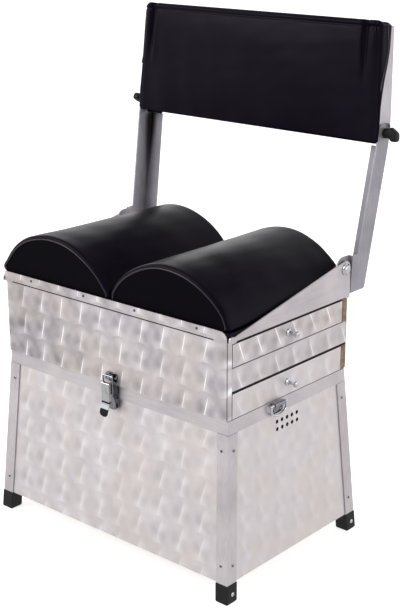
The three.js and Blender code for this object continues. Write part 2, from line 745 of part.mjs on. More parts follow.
function latchLever() {
  const front = LATCH_PIVOT_Y - LEVER_FRONT;
  const back = front + LEVER_DEPTH;
  const top = LATCH_PIVOT_Z + LEVER_TOP;
  const x0 = LATCH_X - LEVER_HALF;
  const x1 = LATCH_X + LEVER_HALF;
  const side = rounded([
    [front, top, LEVER_T], [LATCH_PIVOT_Y + LEVER_T, top, LEVER_TOP * 0.5],
    [back, LATCH_PIVOT_Z - LEVER_TOP, LEVER_T], [back, LEVER_LOW_Z + LEVER_DEPTH, 2 * LEVER_T],
    [front + LEVER_T * 2, LEVER_LOW_Z, 0], [front, LEVER_LOW_Z, 0],
  ], 4);
  const block = prismX(side, x0, x1);
  const inside = box(x0 + LEVER_T, x1 - LEVER_T, front + LEVER_T, back + LEVER_DEPTH, LEVER_LOW_Z - LEVER_DEPTH, top + LEVER_T);
  const shell = cut(block, inside);
  const tip = [];
  const under = [];
  const steps = 7;
  for (let i = 0; i <= steps; i += 1) {
    const t = i / steps;
    const z = LEVER_LOW_Z + 2 * LEVER_T + (LEVER_TIP_Z - LEVER_LOW_Z - 2 * LEVER_T) * t;
    const out = front - LEVER_TIP_OUT * Math.sin(t * Math.PI * 0.6) ** 2;
    tip.push([out, z]);
    under.push([out + LEVER_T * 1.3, z]);
  }
  const tongue = prismX([...tip, ...under.reverse()], x0, x1);
  const outline = rounded([
    [x0, LEVER_TIP_Z, LEVER_HALF * 0.8], [x1, LEVER_TIP_Z, LEVER_HALF * 0.8],
    [x1, LEVER_LOW_Z + LEVER_DEPTH, 0], [x0, LEVER_LOW_Z + LEVER_DEPTH, 0],
  ], 6);
  const shaped = common(tongue, prismY(outline, front - 2 * LEVER_TIP_OUT, front + 2 * LEVER_TIP_OUT));
  const pin = rod(
    PIVOT_PIN_R,
    [x0 + LEVER_T / 2, LATCH_PIVOT_Y, LATCH_PIVOT_Z],
    [x1 - LEVER_T / 2, LATCH_PIVOT_Y, LATCH_PIVOT_Z],
  );
  const low = LATCH_PIVOT_Z - BAIL_DROP;
  const eye = rod(BAIL_WIRE_R + RUN_CLEAR, [x0 - GAP, LATCH_PIVOT_Y, low], [x1 + GAP, LATCH_PIVOT_Y, low]);
  return cut(join(shell, shaped, pin), eye);
}

function latchBail() {
  const y = LATCH_PIVOT_Y;
  const low = LATCH_PIVOT_Z - BAIL_DROP;
  const x0 = LATCH_X - BAIL_HALF;
  const x1 = LATCH_X + BAIL_HALF;
  const inner = (CHEEK_OUT + LEVER_HALF) / 2 + GAP;
  const path = [
    [LATCH_X - inner, y, low], [x0, y, low], [x0, y, BAIL_TOP_Z],
    [x1, y, BAIL_TOP_Z], [x1, y, low], [LATCH_X + inner, y, low],
  ];
  return wire(path, BAIL_WIRE_R, [0, 1, 0], false);
}

function latchKeeper() {
  const back = -CASE_HALF_Y - GAP;
  const face = back - LATCH_T;
  const k = KEEPER_HALF;
  const outline = rounded([
    [LATCH_X - k, KEEPER_Z0, LATCH_T], [LATCH_X + k, KEEPER_Z0, LATCH_T],
    [LATCH_X + k, KEEPER_Z1, k * 0.7], [LATCH_X - k, KEEPER_Z1, k * 0.7],
  ], 6);
  const plate = prismY(outline, face, back);
  const t = LATCH_T;
  const tip = face - HOOK_OUT + t;
  const hook = prismX([
    [face + t / 2, HOOK_Z], [face + t / 2, HOOK_Z + t], [tip + t, HOOK_Z + t],
    [tip + t, HOOK_Z + HOOK_RISE], [tip, HOOK_Z + HOOK_RISE], [tip, HOOK_Z],
  ], LATCH_X - HOOK_HALF, LATCH_X + HOOK_HALF);
  const rivets = [-1, 1].map((s) => dome(
    RIVET_R * 0.6, RIVET_H * 0.8, t / 2, [LATCH_X + s * (k - 2.2 * t), face, HOOK_Z], [0, -1, 0],
  ));
  return join(plate, hook, ...rivets);
}

// Hinge along the back edge, knuckles taken in turn by the two leaves
function hingeLeaf(upper) {
  const up = upper ? 1 : -1;
  const z = SEAM_Z;
  const face = upper ? CASE_HALF_Y + GAP : flare(SEAM_Z - HINGE_LEAF - HINGE_R)[1] + GAP;
  const r = HINGE_R;
  const foot0 = z + up * (r + HINGE_T);
  const foot1 = foot0 + up * HINGE_LEAF;
  const [z0, z1] = upper ? [foot0, foot1] : [foot1, foot0];
  const leaf = box(-HINGE_HALF_X, HINGE_HALF_X, face, face + HINGE_T, z0, z1);
  const strip = [
    [face, foot0 + up * HINGE_T], [face + HINGE_T, foot0 + up * HINGE_T],
    [HINGE_Y + r * 0.5, z + up * r * 0.67], [HINGE_Y - r * 0.5, z + up * r * 0.55],
    [face, foot0 - up * HINGE_T * 0.2],
  ];
  const parts = [leaf];
  const step = (2 * HINGE_HALF_X) / HINGE_KNUCKLES;
  for (let k = upper ? 1 : 0; k < HINGE_KNUCKLES; k += 2) {
    const x0 = -HINGE_HALF_X + k * step + (k ? GAP : 0);
    const x1 = -HINGE_HALF_X + (k + 1) * step - (k + 1 < HINGE_KNUCKLES ? GAP : 0);
    parts.push(rod(r, [x0, HINGE_Y, z], [x1, HINGE_Y, z], 16));
    parts.push(prismX(strip, x0, x1));
  }
  const far = HINGE_HALF_X + GAP;
  return cut(join(...parts), rod(HINGE_PIN_R + RUN_CLEAR, [-far, HINGE_Y, z], [far, HINGE_Y, z], 16));
}

function hingePin() {
  const end = HINGE_HALF_X;
  return rod(HINGE_PIN_R, [-end, HINGE_Y, SEAM_Z], [end, HINGE_Y, SEAM_Z], 16);
}

// Drawer case
const CASE_INNER_X = CASE_HALF_X - SHEET - GAP;
const CASE_INNER_Y = CASE_HALF_Y - SHEET - GAP;
const FRONT_BACK_X = CASE_HALF_X - DRAWER_FRONT_T;
const BAY_Y0 = CASE_RETURN - CASE_HALF_Y;
const BAY_Y1 = CASE_INNER_Y - CASE_REAR_WALL;
const SHELF_Z = LOW_FRONT_Z1 + 2 * GAP;

function caseBody() {
  const x = CASE_INNER_X;
  const y = CASE_INNER_Y;
  const z0 = CASE_Z0;
  const z1 = CASE_Z1 - GAP;
  const stop = FRONT_BACK_X - GAP;
  const lap = CASE_WALL / 2;
  const b = BATTEN_INSET;
  const w = CASE_WALL;
  const left = -x + w;
  const frame = cut(
    box(-x + b, x - b, -y + b, y - b, z1 - lap, BOARD_Z0 - GAP),
    box(-x + b + w, x - b - w, -y + b + w, y - b - w, z1 - w, BOARD_Z0 + w),
  );
  const solid = join(
    box(-x, x, -y, BAY_Y0, z0, z1),
    box(-x, CASE_HALF_X, BAY_Y1, y, z0, z1),
    box(-x, left, -y + lap, y - lap, z0, z1),
    box(-x + lap, stop, -y + lap, y - lap, z0, z0 + CASE_FLOOR),
    box(-x + lap, stop, -y + lap, y - lap, SHELF_Z, SHELF_Z + CASE_FLOOR),
    box(-x + lap, stop, -y + lap, y - lap, MID_Z1 + GAP - CASE_FLOOR, MID_Z1 + GAP),
    frame,
  );
  const midNotch = box(stop, CASE_HALF_X + w, BAY_Y1 - lap, y + w, SHELF_Z - 2 * GAP, MID_Z1 + GAP);
  const railNotch = box(stop, CASE_HALF_X + w, BAY_Y0, BAY_Y1, z1 - w, z1 + GAP);
  return cut(solid, midNotch, railNotch);
}

function caseFrontSheet() {
  const x = CASE_HALF_X;
  const y = CASE_HALF_Y;
  const t = SHEET;
  const flat = [
    [-x, -y], [x, -y], [x, CASE_RETURN - y], [x - t, CASE_RETURN - y], [x - t, t - y], [-x, t - y],
  ];
  return stacked([{ z: CASE_Z0, points: flat }, { z: CASE_Z1, points: flat }]);
}

function caseLeftSheet() {
  const y = CASE_HALF_Y;
  return box(-CASE_HALF_X, SHEET - CASE_HALF_X, SHEET + GAP - y, y, CASE_Z0, CASE_Z1);
}

function caseBackSheet() {
  const y = CASE_HALF_Y;
  return box(SHEET + GAP - CASE_HALF_X, CASE_HALF_X, y - SHEET, y, CASE_Z0, CASE_Z1);
}

function caseMiddlePanel() {
  const z0 = LOW_FRONT_Z1 + 2 * GAP;
  return box(FRONT_BACK_X, CASE_HALF_X, BAY_Y0 + GAP, CASE_INNER_Y, z0, MID_Z1);
}

// Each drawer is a front, an open tray and a turned pull
const DRAWERS = {
  upper: { z0: TOP_FRONT_Z0, z1: TOP_FRONT_Z1, rest: MID_Z1 + 2 * GAP },
  lower: { z0: CASE_Z0, z1: LOW_FRONT_Z1, rest: CASE_Z0 + CASE_FLOOR + GAP },
};

function pullZ(d) {
  return (d.z0 + d.z1) / 2;
}

function drawerFront(d) {
  const block = box(FRONT_BACK_X, CASE_HALF_X, BAY_Y0 + GAP, BAY_Y1 - 2 * GAP, d.z0, d.z1);
  const z = pullZ(d);
  const hole = rod(PULL_R / 2 + GAP, [FRONT_BACK_X - GAP, PULL_Y, z], [CASE_HALF_X + GAP, PULL_Y, z], DOME_SIDES);
  return cut(block, hole);
}

function drawerTray(d) {
  const x1 = FRONT_BACK_X - GAP;
  const y0 = BAY_Y0 + TRAY_SIDE_CLEAR;
  const y1 = BAY_Y1 - TRAY_SIDE_CLEAR;
  const w = TRAY_WALL;
  const top = d.rest + TRAY_H;
  return cut(
    box(TRAY_BACK_X, x1, y0, y1, d.rest, top),
    box(TRAY_BACK_X + w, x1 - w, y0 + w, y1 - w, d.rest + TRAY_FLOOR, top + w),
  );
}

function drawerPull(d) {
  const profile = [
    [0, -DRAWER_FRONT_T * 0.8], [PULL_R / 2, -DRAWER_FRONT_T * 0.8], [PULL_R / 2, 0], [PULL_FLANGE_R, 0],
    [PULL_FLANGE_R, PULL_LEN * 0.07], [PULL_R * 1.1, PULL_LEN * 0.16], [PULL_R, PULL_LEN * 0.55],
    [PULL_HEAD_R * 0.92, PULL_LEN * 0.76], [PULL_HEAD_R, PULL_LEN * 0.86],
    [PULL_HEAD_R * 0.86, PULL_LEN * 0.97], [PULL_HEAD_R * 0.5, PULL_LEN], [0, PULL_LEN],
  ];
  return turned(profile, [CASE_HALF_X + GAP, PULL_Y, pullZ(d)], [1, 0, 0], DOME_SIDES + 4);
}

// Seat
function seatBoard() {
  return box(GAP - PLATE_IN_X, PLATE_IN_X - GAP, TRIM_T + GAP - TRIM_OUT_Y, BOARD_BACK_Y, BOARD_Z0, BOARD_Z1);
}

function seatTrim() {
  const low = CASE_Z1 + GAP;
  const s = TRIM_SMALL_R;
  const outline = rounded([
    [-TRIM_END_X, low, s], [TRIM_SLOT_LEFT, low, 0], [TRIM_SLOT_LEFT + s, BOARD_Z0, 0],
    [TRIM_SLOT_RIGHT - s, BOARD_Z0, 0], [TRIM_SLOT_RIGHT, low, 0], [TRIM_END_X, low, 0],
    [TRIM_END_X, TRIM_Z1, TRIM_CORNER_R], [-TRIM_END_X, TRIM_Z1, s],
  ], 6);
  const strip = prismY(outline, -TRIM_OUT_Y, TRIM_T - TRIM_OUT_Y);
  const nails = NAIL_SHARES.map(
    (x) => dome(NAIL_R, NAIL_H, TRIM_T / 2, [x * CASE_HALF_X, -TRIM_OUT_Y, NAIL_Z], [0, -1, 0]),
  );
  return join(strip, ...nails);
}

function sidePlate() {
  const low = CASE_Z1 + GAP;
  const back = PIVOT_Y + PLATE_HUMP_R;
  const front = -TRIM_OUT_Y;
  const rise = Math.atan2(PIVOT_Z + PLATE_HUMP_R - PLATE_FRONT_TOP_Z - 1.5, PIVOT_Y - front);
  const touch = 90 + (rise * 180) / Math.PI;
  const outline = [
    ...rounded([
      [front, PLATE_FRONT_TOP_Z, PLATE_CORNER_R], [front, low, 0],
      [BAY_Y0, low, 0], [BAY_Y0 + TRIM_SMALL_R, BOARD_Z0, 0],
    ], 5).slice(0, -1),
    [BAY_Y0 + TRIM_SMALL_R, BOARD_Z0], [BAY_Y1 - TRIM_SMALL_R, BOARD_Z0],
    [BAY_Y1, low], [back, low],
    ...arc(PIVOT_Y, PIVOT_Z, PLATE_HUMP_R, 0, touch, 12),
  ];
  const plate = prismX(outline, PLATE_IN_X, PLATE_IN_X + PLATE_T);
  const far = PLATE_IN_X + 2 * PLATE_T;
  return cut(plate, rod(BOLT_R + GAP, [PLATE_IN_X - PLATE_T, PIVOT_Y, PIVOT_Z], [far, PIVOT_Y, PIVOT_Z]));
}

function pivotBolt() {
  const outer = PLATE_IN_X + PLATE_T + GAP;
  const inner = EAR_X - POST_T - GAP * 2;
  const h = BOLT_HEAD_H;
  const back = outer - inner;
  const profile = [
    [0, -back - BOLT_NUT_T], [BOLT_NUT_R, -back - BOLT_NUT_T], [BOLT_NUT_R, -back], [BOLT_R, -back],
    [BOLT_R, 0], [BOLT_HEAD_R, 0], [BOLT_HEAD_R, h * 0.3], [BOLT_HEAD_R * 0.88, h * 0.66],
    [BOLT_HEAD_R * 0.6, h * 0.92], [0, h],
  ];
  return turned(profile, [outer, PIVOT_Y, PIVOT_Z], [1, 0, 0]);
}

// Arch drawn along Y from a front section to the back one, with softened ends and a slight sag
function bolster(frontShares) {
  const arch = (shares) => smoothed(
    shares.map(([a, b]) => [a * BOLSTER_W, BOARD_Z1 + BOLSTER_RISE + b * BOLSTER_H]), BOLSTER_STEPS,
  );
  const front = arch(frontShares);
  const back = arch(BACK_ARCH_SHARES);
  const e = BOLSTER_EDGE;
  const y = BOLSTER_HALF_Y;
  const floor = BOARD_Z1 + BOLSTER_RISE;
  const shrink = [[-y, e], [-y + e * 0.3, e * 0.3], [-y + e, 0]];
  const middle = [-0.6, -0.2, 0.2, 0.6].map((s) => [s * y, 0]);
  const all = [...shrink, ...middle, ...shrink.map(([a, b]) => [-a, b]).reverse()];
  const mid = BOLSTER_W / 2;
  const levels = all.map(([at, inset]) => {
    const share = (at / y + 1) / 2;
    const sag = 1 - BOLSTER_SAG_SHARE * (1 - (at / y) ** 2);
    const sx = 1 - inset / mid;
    const sz = 1 - inset / BOLSTER_H;
    return {
      z: at,
      points: front.map(([a, b], i) => {
        const x = a + (back[i][0] - a) * share;
        const z = b + (back[i][1] - b) * share;
        return [mid + (x - mid) * sx, -(floor + (z - floor) * sz * sag)];
      }),
    };
  });
  const g = stacked(levels);
  g.rotateX(-Math.PI / 2);
  g.computeVertexNormals();
  return g;
}

// Lower post: ear inside the side plate, a step out to the web, an inward back flange and a stop tab
function postFrontY(z) {
  return POST_FRONT_STEP_Y + POST_FRONT_LEAN * (z - POST_STEP_Z);
}

function postBackY(z) {
  return POST_BACK_Y + POST_BACK_LEAN * (z - POST_BOTTOM_Z);
}

function lowerPost() {
  const zb = POST_BEND_Z;
  const lap = GAP;
  const r = POST_ROUND;
  const t = POST_T;
  const stepBack = POST_HEEL_Y + t;
  const ear = prismX([
    ...arc(PIVOT_Y, PIVOT_Z, EAR_R, EAR_FROM_DEG, EAR_TO_DEG, 14), [stepBack, POST_HEEL_Z], [stepBack, POST_STEP_Z],
  ], EAR_X - t, EAR_X);
  const outAt = (z) => WEB_X + POST_SPLAY * (z - PIVOT_Z) - t / 2;
  const step = prismY([
    [EAR_X - t, POST_HEEL_Z], [outAt(POST_HEEL_Z), POST_HEEL_Z],
    [outAt(POST_STEP_Z), POST_STEP_Z], [EAR_X - t, POST_STEP_Z],
  ], POST_HEEL_Y, stepBack);
  const lowWeb = rounded([
    [POST_HEEL_Y, POST_BOTTOM_Z, 0], [postBackY(POST_BOTTOM_Z), POST_BOTTOM_Z, r / 2],
    [postBackY(zb + lap), zb + lap, 0], [postFrontY(zb + lap), zb + lap, 0],
    [POST_FRONT_STEP_Y, POST_STEP_Z, 0], [POST_HEEL_Y, POST_STEP_Z, 0],
  ], 5);
  const x0 = WEB_X - t;
  const web = prismX(lowWeb, x0, WEB_X);
  const z0 = POST_BOTTOM_Z + r / 2;
  const back = prismX([
    [postBackY(z0) - t, z0], [postBackY(z0), z0], [postBackY(zb - t), zb - t], [postBackY(zb - t) - t, zb - t],
  ], WEB_X - BACK_FLANGE, x0 + t / 2);
  const tabY = BOARD_BACK_Y + GAP;
  const tab = box(EAR_X - TAB_W, x0 + t / 2, tabY, tabY + t, POST_BOTTOM_Z, TAB_Z1);
  const lower = join(sheared(join(web, back, tab), POST_SPLAY, PIVOT_Z), ear, step);
  const x = WEB_X + POST_SPLAY * (zb - PIVOT_Z);
  const top = prismX(rounded([
    [postBackY(zb), zb, 0], [postBackY(POST_TOP_Z), POST_TOP_Z, r], [postFrontY(POST_TOP_Z), POST_TOP_Z, r],
    [postFrontY(zb), zb, 0],
  ], 6), x - t, x);
  const holes = [
    rod(BOLT_R + RUN_CLEAR, [EAR_X - 2 * t, PIVOT_Y, PIVOT_Z], [EAR_X + t, PIVOT_Y, PIVOT_Z]),
    rod(STUD_R + RUN_CLEAR, [x - 2 * t, KNOB_Y, KNOB_Z], [x + t, KNOB_Y, KNOB_Z]),
  ];
  return cut(join(lower, top), ...holes);
}

const LOWER_TOP_X = WEB_X + POST_SPLAY * (POST_BEND_Z - PIVOT_Z);
const UPPER_X = LOWER_TOP_X - POST_T - WEB_GAP;

function frontLineY(z) {
  return UPPER_FRONT_Y + UPPER_LEAN * (z - UPPER_FRONT_Z);
}

// Outer face of the upper web at a height
function upperWebX(z) {
  return UPPER_X - UPPER_TAPER * Math.max(0, z - UPPER_BEND_Z);
}

function upperPost() {
  const zb = UPPER_BEND_Z;
  const lap = GAP;
  const y0 = (z) => frontLineY(z) + UPPER_IN;
  const y1 = (z) => frontLineY(z) + UPPER_DEPTH;
  const round = (y1(KNOB_Z) - y0(KNOB_Z)) / 2;
  const lowWeb = [
    ...arc((y0(KNOB_Z) + y1(KNOB_Z)) / 2, KNOB_Z, round, 180, 360, 12),
    [y1(zb + lap), zb + lap], [y0(zb + lap), zb + lap],
  ];
  const x0 = UPPER_X - POST_T;
  const lower = prismX(lowWeb, x0, UPPER_X);
  const t = POST_T;
  const web = prismX(rounded([
    [y0(zb), zb, 0], [y1(zb), zb, 0], [y1(UPPER_TOP_Z), UPPER_TOP_Z, t], [y0(UPPER_TOP_Z), UPPER_TOP_Z, t],
  ], 4), x0, UPPER_X);
  const d = BOARD_FLANGE_DEPTH;
  const zf = BACK_BOARD_Z0 + BOARD_FLANGE;
  const flange = prismX([
    [frontLineY(zf) + d, zf], [frontLineY(zf) + d + t, zf],
    [frontLineY(UPPER_TOP_Z) + d + t, UPPER_TOP_Z - t], [frontLineY(UPPER_TOP_Z) + d, UPPER_TOP_Z - t],
  ], x0 - BOARD_FLANGE, x0 + t / 2);
  const upper = sheared(join(web, flange), -UPPER_TAPER, zb);
  const hole = rod(STUD_R + RUN_CLEAR, [x0 - t, KNOB_Y, KNOB_Z], [UPPER_X + t, KNOB_Y, KNOB_Z]);
  return cut(join(lower, upper), hole);
}

function clampBolt() {
  const head = UPPER_X - POST_T - GAP;
  const len = LOWER_TOP_X - head + STUD_OUT;
  const profile = [
    [0, -STUD_HEAD_T], [STUD_HEAD_R * 0.7, -STUD_HEAD_T], [STUD_HEAD_R, -STUD_HEAD_T * 0.4], [STUD_HEAD_R, 0],
    [STUD_R, 0], [STUD_R, len], [0, len],
  ];
  return turned(profile, [head, KNOB_Y, KNOB_Z], [1, 0, 0]);
}

// Clamp knob: round hub with a thick wing, bored for the stud
function clampKnob(turnDeg) {
  const x0 = LOWER_TOP_X + KNOB_GAP;
  const x1 = x0 + HUB_LEN;
  const hub = turned([
    [0, 0], [HUB_R * 0.9, 0], [HUB_R, HUB_LEN * 0.2], [HUB_R * 0.86, HUB_LEN + WING_T * 0.4], [0, HUB_LEN + WING_T * 0.4],
  ], [x0, KNOB_Y, KNOB_Z], [1, 0, 0]);
  const l = WING_HALF_L;
  const w = WING_HALF_W;
  const bar = prismX(rounded([
    [-w, -l, WING_ROUND], [w, -l, WING_ROUND], [w, l, WING_ROUND], [-w, l, WING_ROUND],
  ], 5), x1, x1 + WING_T);
  const slant = prismY(rounded([
    [x1 - w, -l, 0], [x1 + WING_T, -l, WING_ROUND / 2], [x1 + WING_T, l * WING_SLANT_SHARE, WING_ROUND / 2],
    [x1 + WING_T * WING_SLANT_SHARE, l * WING_TOP_SHARE, WING_ROUND / 2], [x1 - w, l * WING_TOP_SHARE, 0],
  ], 5), -l, l);
  const wing = common(bar, slant);
  wing.rotateX((turnDeg * Math.PI) / 180);
  wing.translate(0, KNOB_Y, KNOB_Z);
  const bore = rod(
    STUD_R + RUN_CLEAR,
    [x0 - GAP, KNOB_Y, KNOB_Z],
    [LOWER_TOP_X + STUD_OUT + GAP, KNOB_Y, KNOB_Z],
  );
  return cut(join(hub, wing), bore);
}

function backrestBoard() {
  const side = (z) => upperWebX(z) - POST_T - BACK_BOARD_EDGE;
  const row = (z) => {
    const y = frontLineY(z) + BACK_BOARD_DEPTH;
    const x = side(z);
    return { z, points: [[-x, y], [x, y], [x, y + BACK_BOARD_T], [-x, y + BACK_BOARD_T]] };
  };
  return stacked([row(BACK_BOARD_Z0), row(UPPER_BEND_Z), row(BACK_BOARD_Z1)]);
}

// Insets from an edge, mirrored to run across the whole of a width
function spread(insets, width) {
  const near = insets.filter((d) => d < width / 2).map((d) => d - width / 2);
  return [...near, 0, ...near.map((d) => -d).reverse()];
}

// Pad: crowned front with an end strip on each side, flat back
function pillow() {
  const side = (z) => upperWebX(z) + PAD_SKIN;
  const half = side(UPPER_BEND_Z);
  const tall = (PAD_Z1 - PAD_Z0) / 2;
  const us = spread(PAD_INSETS_X, 2 * half).map((x) => x / half);
  const vs = spread(PAD_INSETS_Z, 2 * tall).map((z) => z / tall);
  const soft = (t) => 1 - Math.abs(t) ** (1 / PAD_EDGE_SHARE);
  const front = (u, v) => {
    const rim = (half * (1 - Math.abs(u)) < GAP || tall * (1 - Math.abs(v)) < GAP) ? 1 : 0;
    const strip = (half * (1 - Math.abs(u)) - PAD_STRIP) / PAD_VALLEY_W;
    const valley = PAD_VALLEY * Math.exp(-strip * strip) * ((1 + v) / 2);
    return rim * PAD_ROUND * PAD_EDGE_SHARE - PAD_CROWN * soft(u) * soft(v) + (1 - rim) * (valley - GAP);
  };
  const pos = [];
  for (const depth of [front, () => PAD_BACK]) {
    for (const v of vs) {
      const z = (PAD_Z0 + PAD_Z1) / 2 + v * tall;
      for (const u of us) pos.push(u * side(z), frontLineY(z) + depth(u, v), z);
    }
  }
  const w = us.length;
  const rows = vs.length;
  const all = w * rows;
  const index = [];
  for (let j = 0; j + 1 < rows; j += 1) {
    for (let i = 0; i + 1 < w; i += 1) {
      const a = j * w + i;
      index.push(a, a + 1, a + w + 1, a, a + w + 1, a + w);
      const b = a + all;
      index.push(b, b + w + 1, b + 1, b, b + w, b + w + 1);
    }
  }
  const ring = [];
  for (let i = 0; i + 1 < w; i += 1) ring.push(i);
  for (let j = 0; j + 1 < rows; j += 1) ring.push(j * w + w - 1);
  for (let i = w - 1; i > 0; i -= 1) ring.push((rows - 1) * w + i);
  for (let j = rows - 1; j > 0; j -= 1) ring.push(j * w);
  ring.forEach((a, k) => {
    const b = ring[(k + 1) % ring.length];
    index.push(b, a, a + all, b, a + all, b + all);
  });
  const g = new THREE.BufferGeometry();
  g.setAttribute('position', new THREE.Float32BufferAttribute(pos, 3));
  g.setIndex(index);
  g.computeVertexNormals();
  return g;
}

function backrestPad() {
  const far = PAD_BACK * 2;
  const plan = (z, x0, x1, d0, d1) => ({
    z,
    points: [
      [x0(z), frontLineY(z) + d0], [x1(z), frontLineY(z) + d0], [x1(z), frontLineY(z) + d1], [x0(z), frontLineY(z) + d1],
    ],
  });
  const inner = (z) => upperWebX(z) - POST_T - PAD_SLOT;
  const outer = (z) => upperWebX(z) + PAD_SLOT;
  const low = PAD_Z0 - PAD_ROUND;
  const slotTop = UPPER_TOP_Z + PAD_SLOT;
  const slot = stacked([low, UPPER_BEND_Z, slotTop].map((z) => plan(z, inner, outer, PAD_SLOT, far)));
  const boardTop = BACK_BOARD_Z1 + PAD_SLOT;
  const recess = stacked([low, UPPER_BEND_Z, boardTop].map(
    (z) => plan(z, (h) => -inner(h) - PAD_SLOT / 2, (h) => inner(h) + PAD_SLOT / 2, BACK_BOARD_DEPTH - PAD_SLOT, far),
  ));
  const flangeRoom = stacked([low, UPPER_BEND_Z, slotTop].map(
    (z) => plan(z, (h) => inner(h) - PAD_SLOT, outer, BACK_BOARD_DEPTH - PAD_SLOT, far),
  ));
  const lines = WRAP_EDGE_SHARES.map(([d, up]) => {
    const z = PAD_Z0 + up * (PAD_Z1 - PAD_Z0);
    return [frontLineY(z) + d * PAD_BACK, z];
  });
  const outside = prismX([
    ...lines, [frontLineY(low) + far, low], [frontLineY(PAD_Z1) + far, PAD_Z1 + PAD_ROUND],
  ], UPPER_X - PAD_SKIN * 3, UPPER_X + PAD_SKIN * 3);
  const nut = box(
    UPPER_X - POST_T - 2 * STUD_HEAD_T - PAD_SLOT, UPPER_X + PAD_SLOT,
    KNOB_Y - STUD_HEAD_R * 1.3, KNOB_Y + far, low, KNOB_Z + STUD_HEAD_R * 1.3,
  );
  const behind = stacked([low, UPPER_BEND_Z, PAD_Z1 + PAD_ROUND].map((z) => plan(z, outer, (h) => outer(h) + far, 0, far)));
  const cutOutside = common(outside, behind);
  const tailTop = PAD_Z0 + PAD_ROUND;
  const tailBack = (z) => frontLineY(z) - TAIL_AHEAD;
  const tail = prismX([
    [tailBack(TAIL_Z0) - TAIL_DEPTH, TAIL_Z0], [tailBack(TAIL_Z0), TAIL_Z0],
    [frontLineY(tailTop) + PAD_SLOT / 2, tailTop], [tailBack(tailTop) - TAIL_DEPTH * 0.4, tailTop],
  ], UPPER_X - TAIL_W, UPPER_X + PAD_SLOT);
  const tools = [slot, flangeRoom, nut, cutOutside];
  const body = cut(pillow(), recess, ...tools, ...tools.map(mirrorX));
  return join(body, tail, mirrorX(tail));
}

// Assembly
const group = new THREE.Group();
group.name = 'seat_box';

function add(name, geometry, key) {
  const mesh = new THREE.Mesh(geometry, material(key));
  mesh.name = name;
  group.add(mesh);
}

function addPair(name, geometry, key) {
  add(`${name}_right`, geometry, key);
  add(`${name}_left`, mirrorX(geometry), key);
}

function addCorners(name, geometry, key) {
  add(`${name}_front_right`, geometry, key);
  add(`${name}_front_left`, mirrorX(geometry), key);
  add(`${name}_back_right`, mirrorY(geometry), key);
  add(`${name}_back_left`, mirrorX(mirrorY(geometry)), key);
}

add('base_box', baseBox(), 'ply');
add('base_panel_front', frontPanel(), 'jewelled');
add('base_panel_back', mirrorY(frontPanel()), 'jewelled');
addPair('base_panel', sidePanel(), 'jewelled');
add('rim_band', rimBand(), 'aluminium');
addCorners('corner_angle', cornerAngle(), 'aluminium');
addCorners('foot', foot(), 'plastic');
addCorners('foot_screw', footScrew(), 'chrome');
addPair('strap_plate', strapPlate(), 'chrome');
addPair('strap_ring', strapRing(), 'chrome');
add('latch_base', latchBase(), 'chrome');
add('latch_lever', latchLever(), 'chrome');
add('latch_bail', latchBail(), 'chrome');
add('latch_keeper', latchKeeper(), 'chrome');
add('hinge_leaf_lower', hingeLeaf(false), 'aluminium');
add('hinge_leaf_upper', hingeLeaf(true), 'aluminium');
add('hinge_pin', hingePin(), 'chrome');
add('case_body', caseBody(), 'ply');
add('case_sheet_front', caseFrontSheet(), 'jewelled');
add('case_sheet_left', caseLeftSheet(), 'jewelled');
add('case_sheet_back', caseBackSheet(), 'jewelled');
add('case_middle_panel', caseMiddlePanel(), 'jewelled');
for (const [name, d] of Object.entries(DRAWERS)) {
  add(`drawer_${name}_front`, drawerFront(d), 'jewelled');
  add(`drawer_${name}_tray`, drawerTray(d), 'ply');
  add(`drawer_${name}_pull`, drawerPull(d), 'chrome');
}
add('seat_board', seatBoard(), 'ply');
add('seat_trim', seatTrim(), 'aluminium');
addPair('side_plate', sidePlate(), 'aluminium');
addPair('pivot_bolt', pivotBolt(), 'chrome');
add('bolster_right', bolster(RIGHT_ARCH_SHARES), 'vinyl');
add('bolster_left', mirrorX(bolster(LEFT_ARCH_SHARES)), 'vinyl');
addPair('lower_post', lowerPost(), 'aluminium');
addPair('upper_post', upperPost(), 'aluminium');
addPair('clamp_bolt', clampBolt(), 'chrome');
add('clamp_knob_right', clampKnob(0), 'plastic');
add('clamp_knob_left', mirrorX(clampKnob(LEFT_KNOB_TURN_DEG)), 'plastic');
add('backrest_board', backrestBoard(), 'ply');
add('backrest_pad', backrestPad(), 'vinyl');

// Origin at the middle of the footprint of the whole seat
const bounds = new THREE.Box3().setFromObject(group);
const shift = new THREE.Vector3(
  -(bounds.min.x + bounds.max.x) / 2,
  -(bounds.min.y + bounds.max.y) / 2,
  -bounds.min.z,
);
for (const mesh of group.children) mesh.geometry.translate(shift.x, shift.y, shift.z);

export default group;
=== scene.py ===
"""Seat box with side drawers, twin bolsters and a folding backrest: finishes and soft parts on the frame."""
import math
from functools import partial

import bpy
import numpy as np
from mathutils import Matrix, Vector


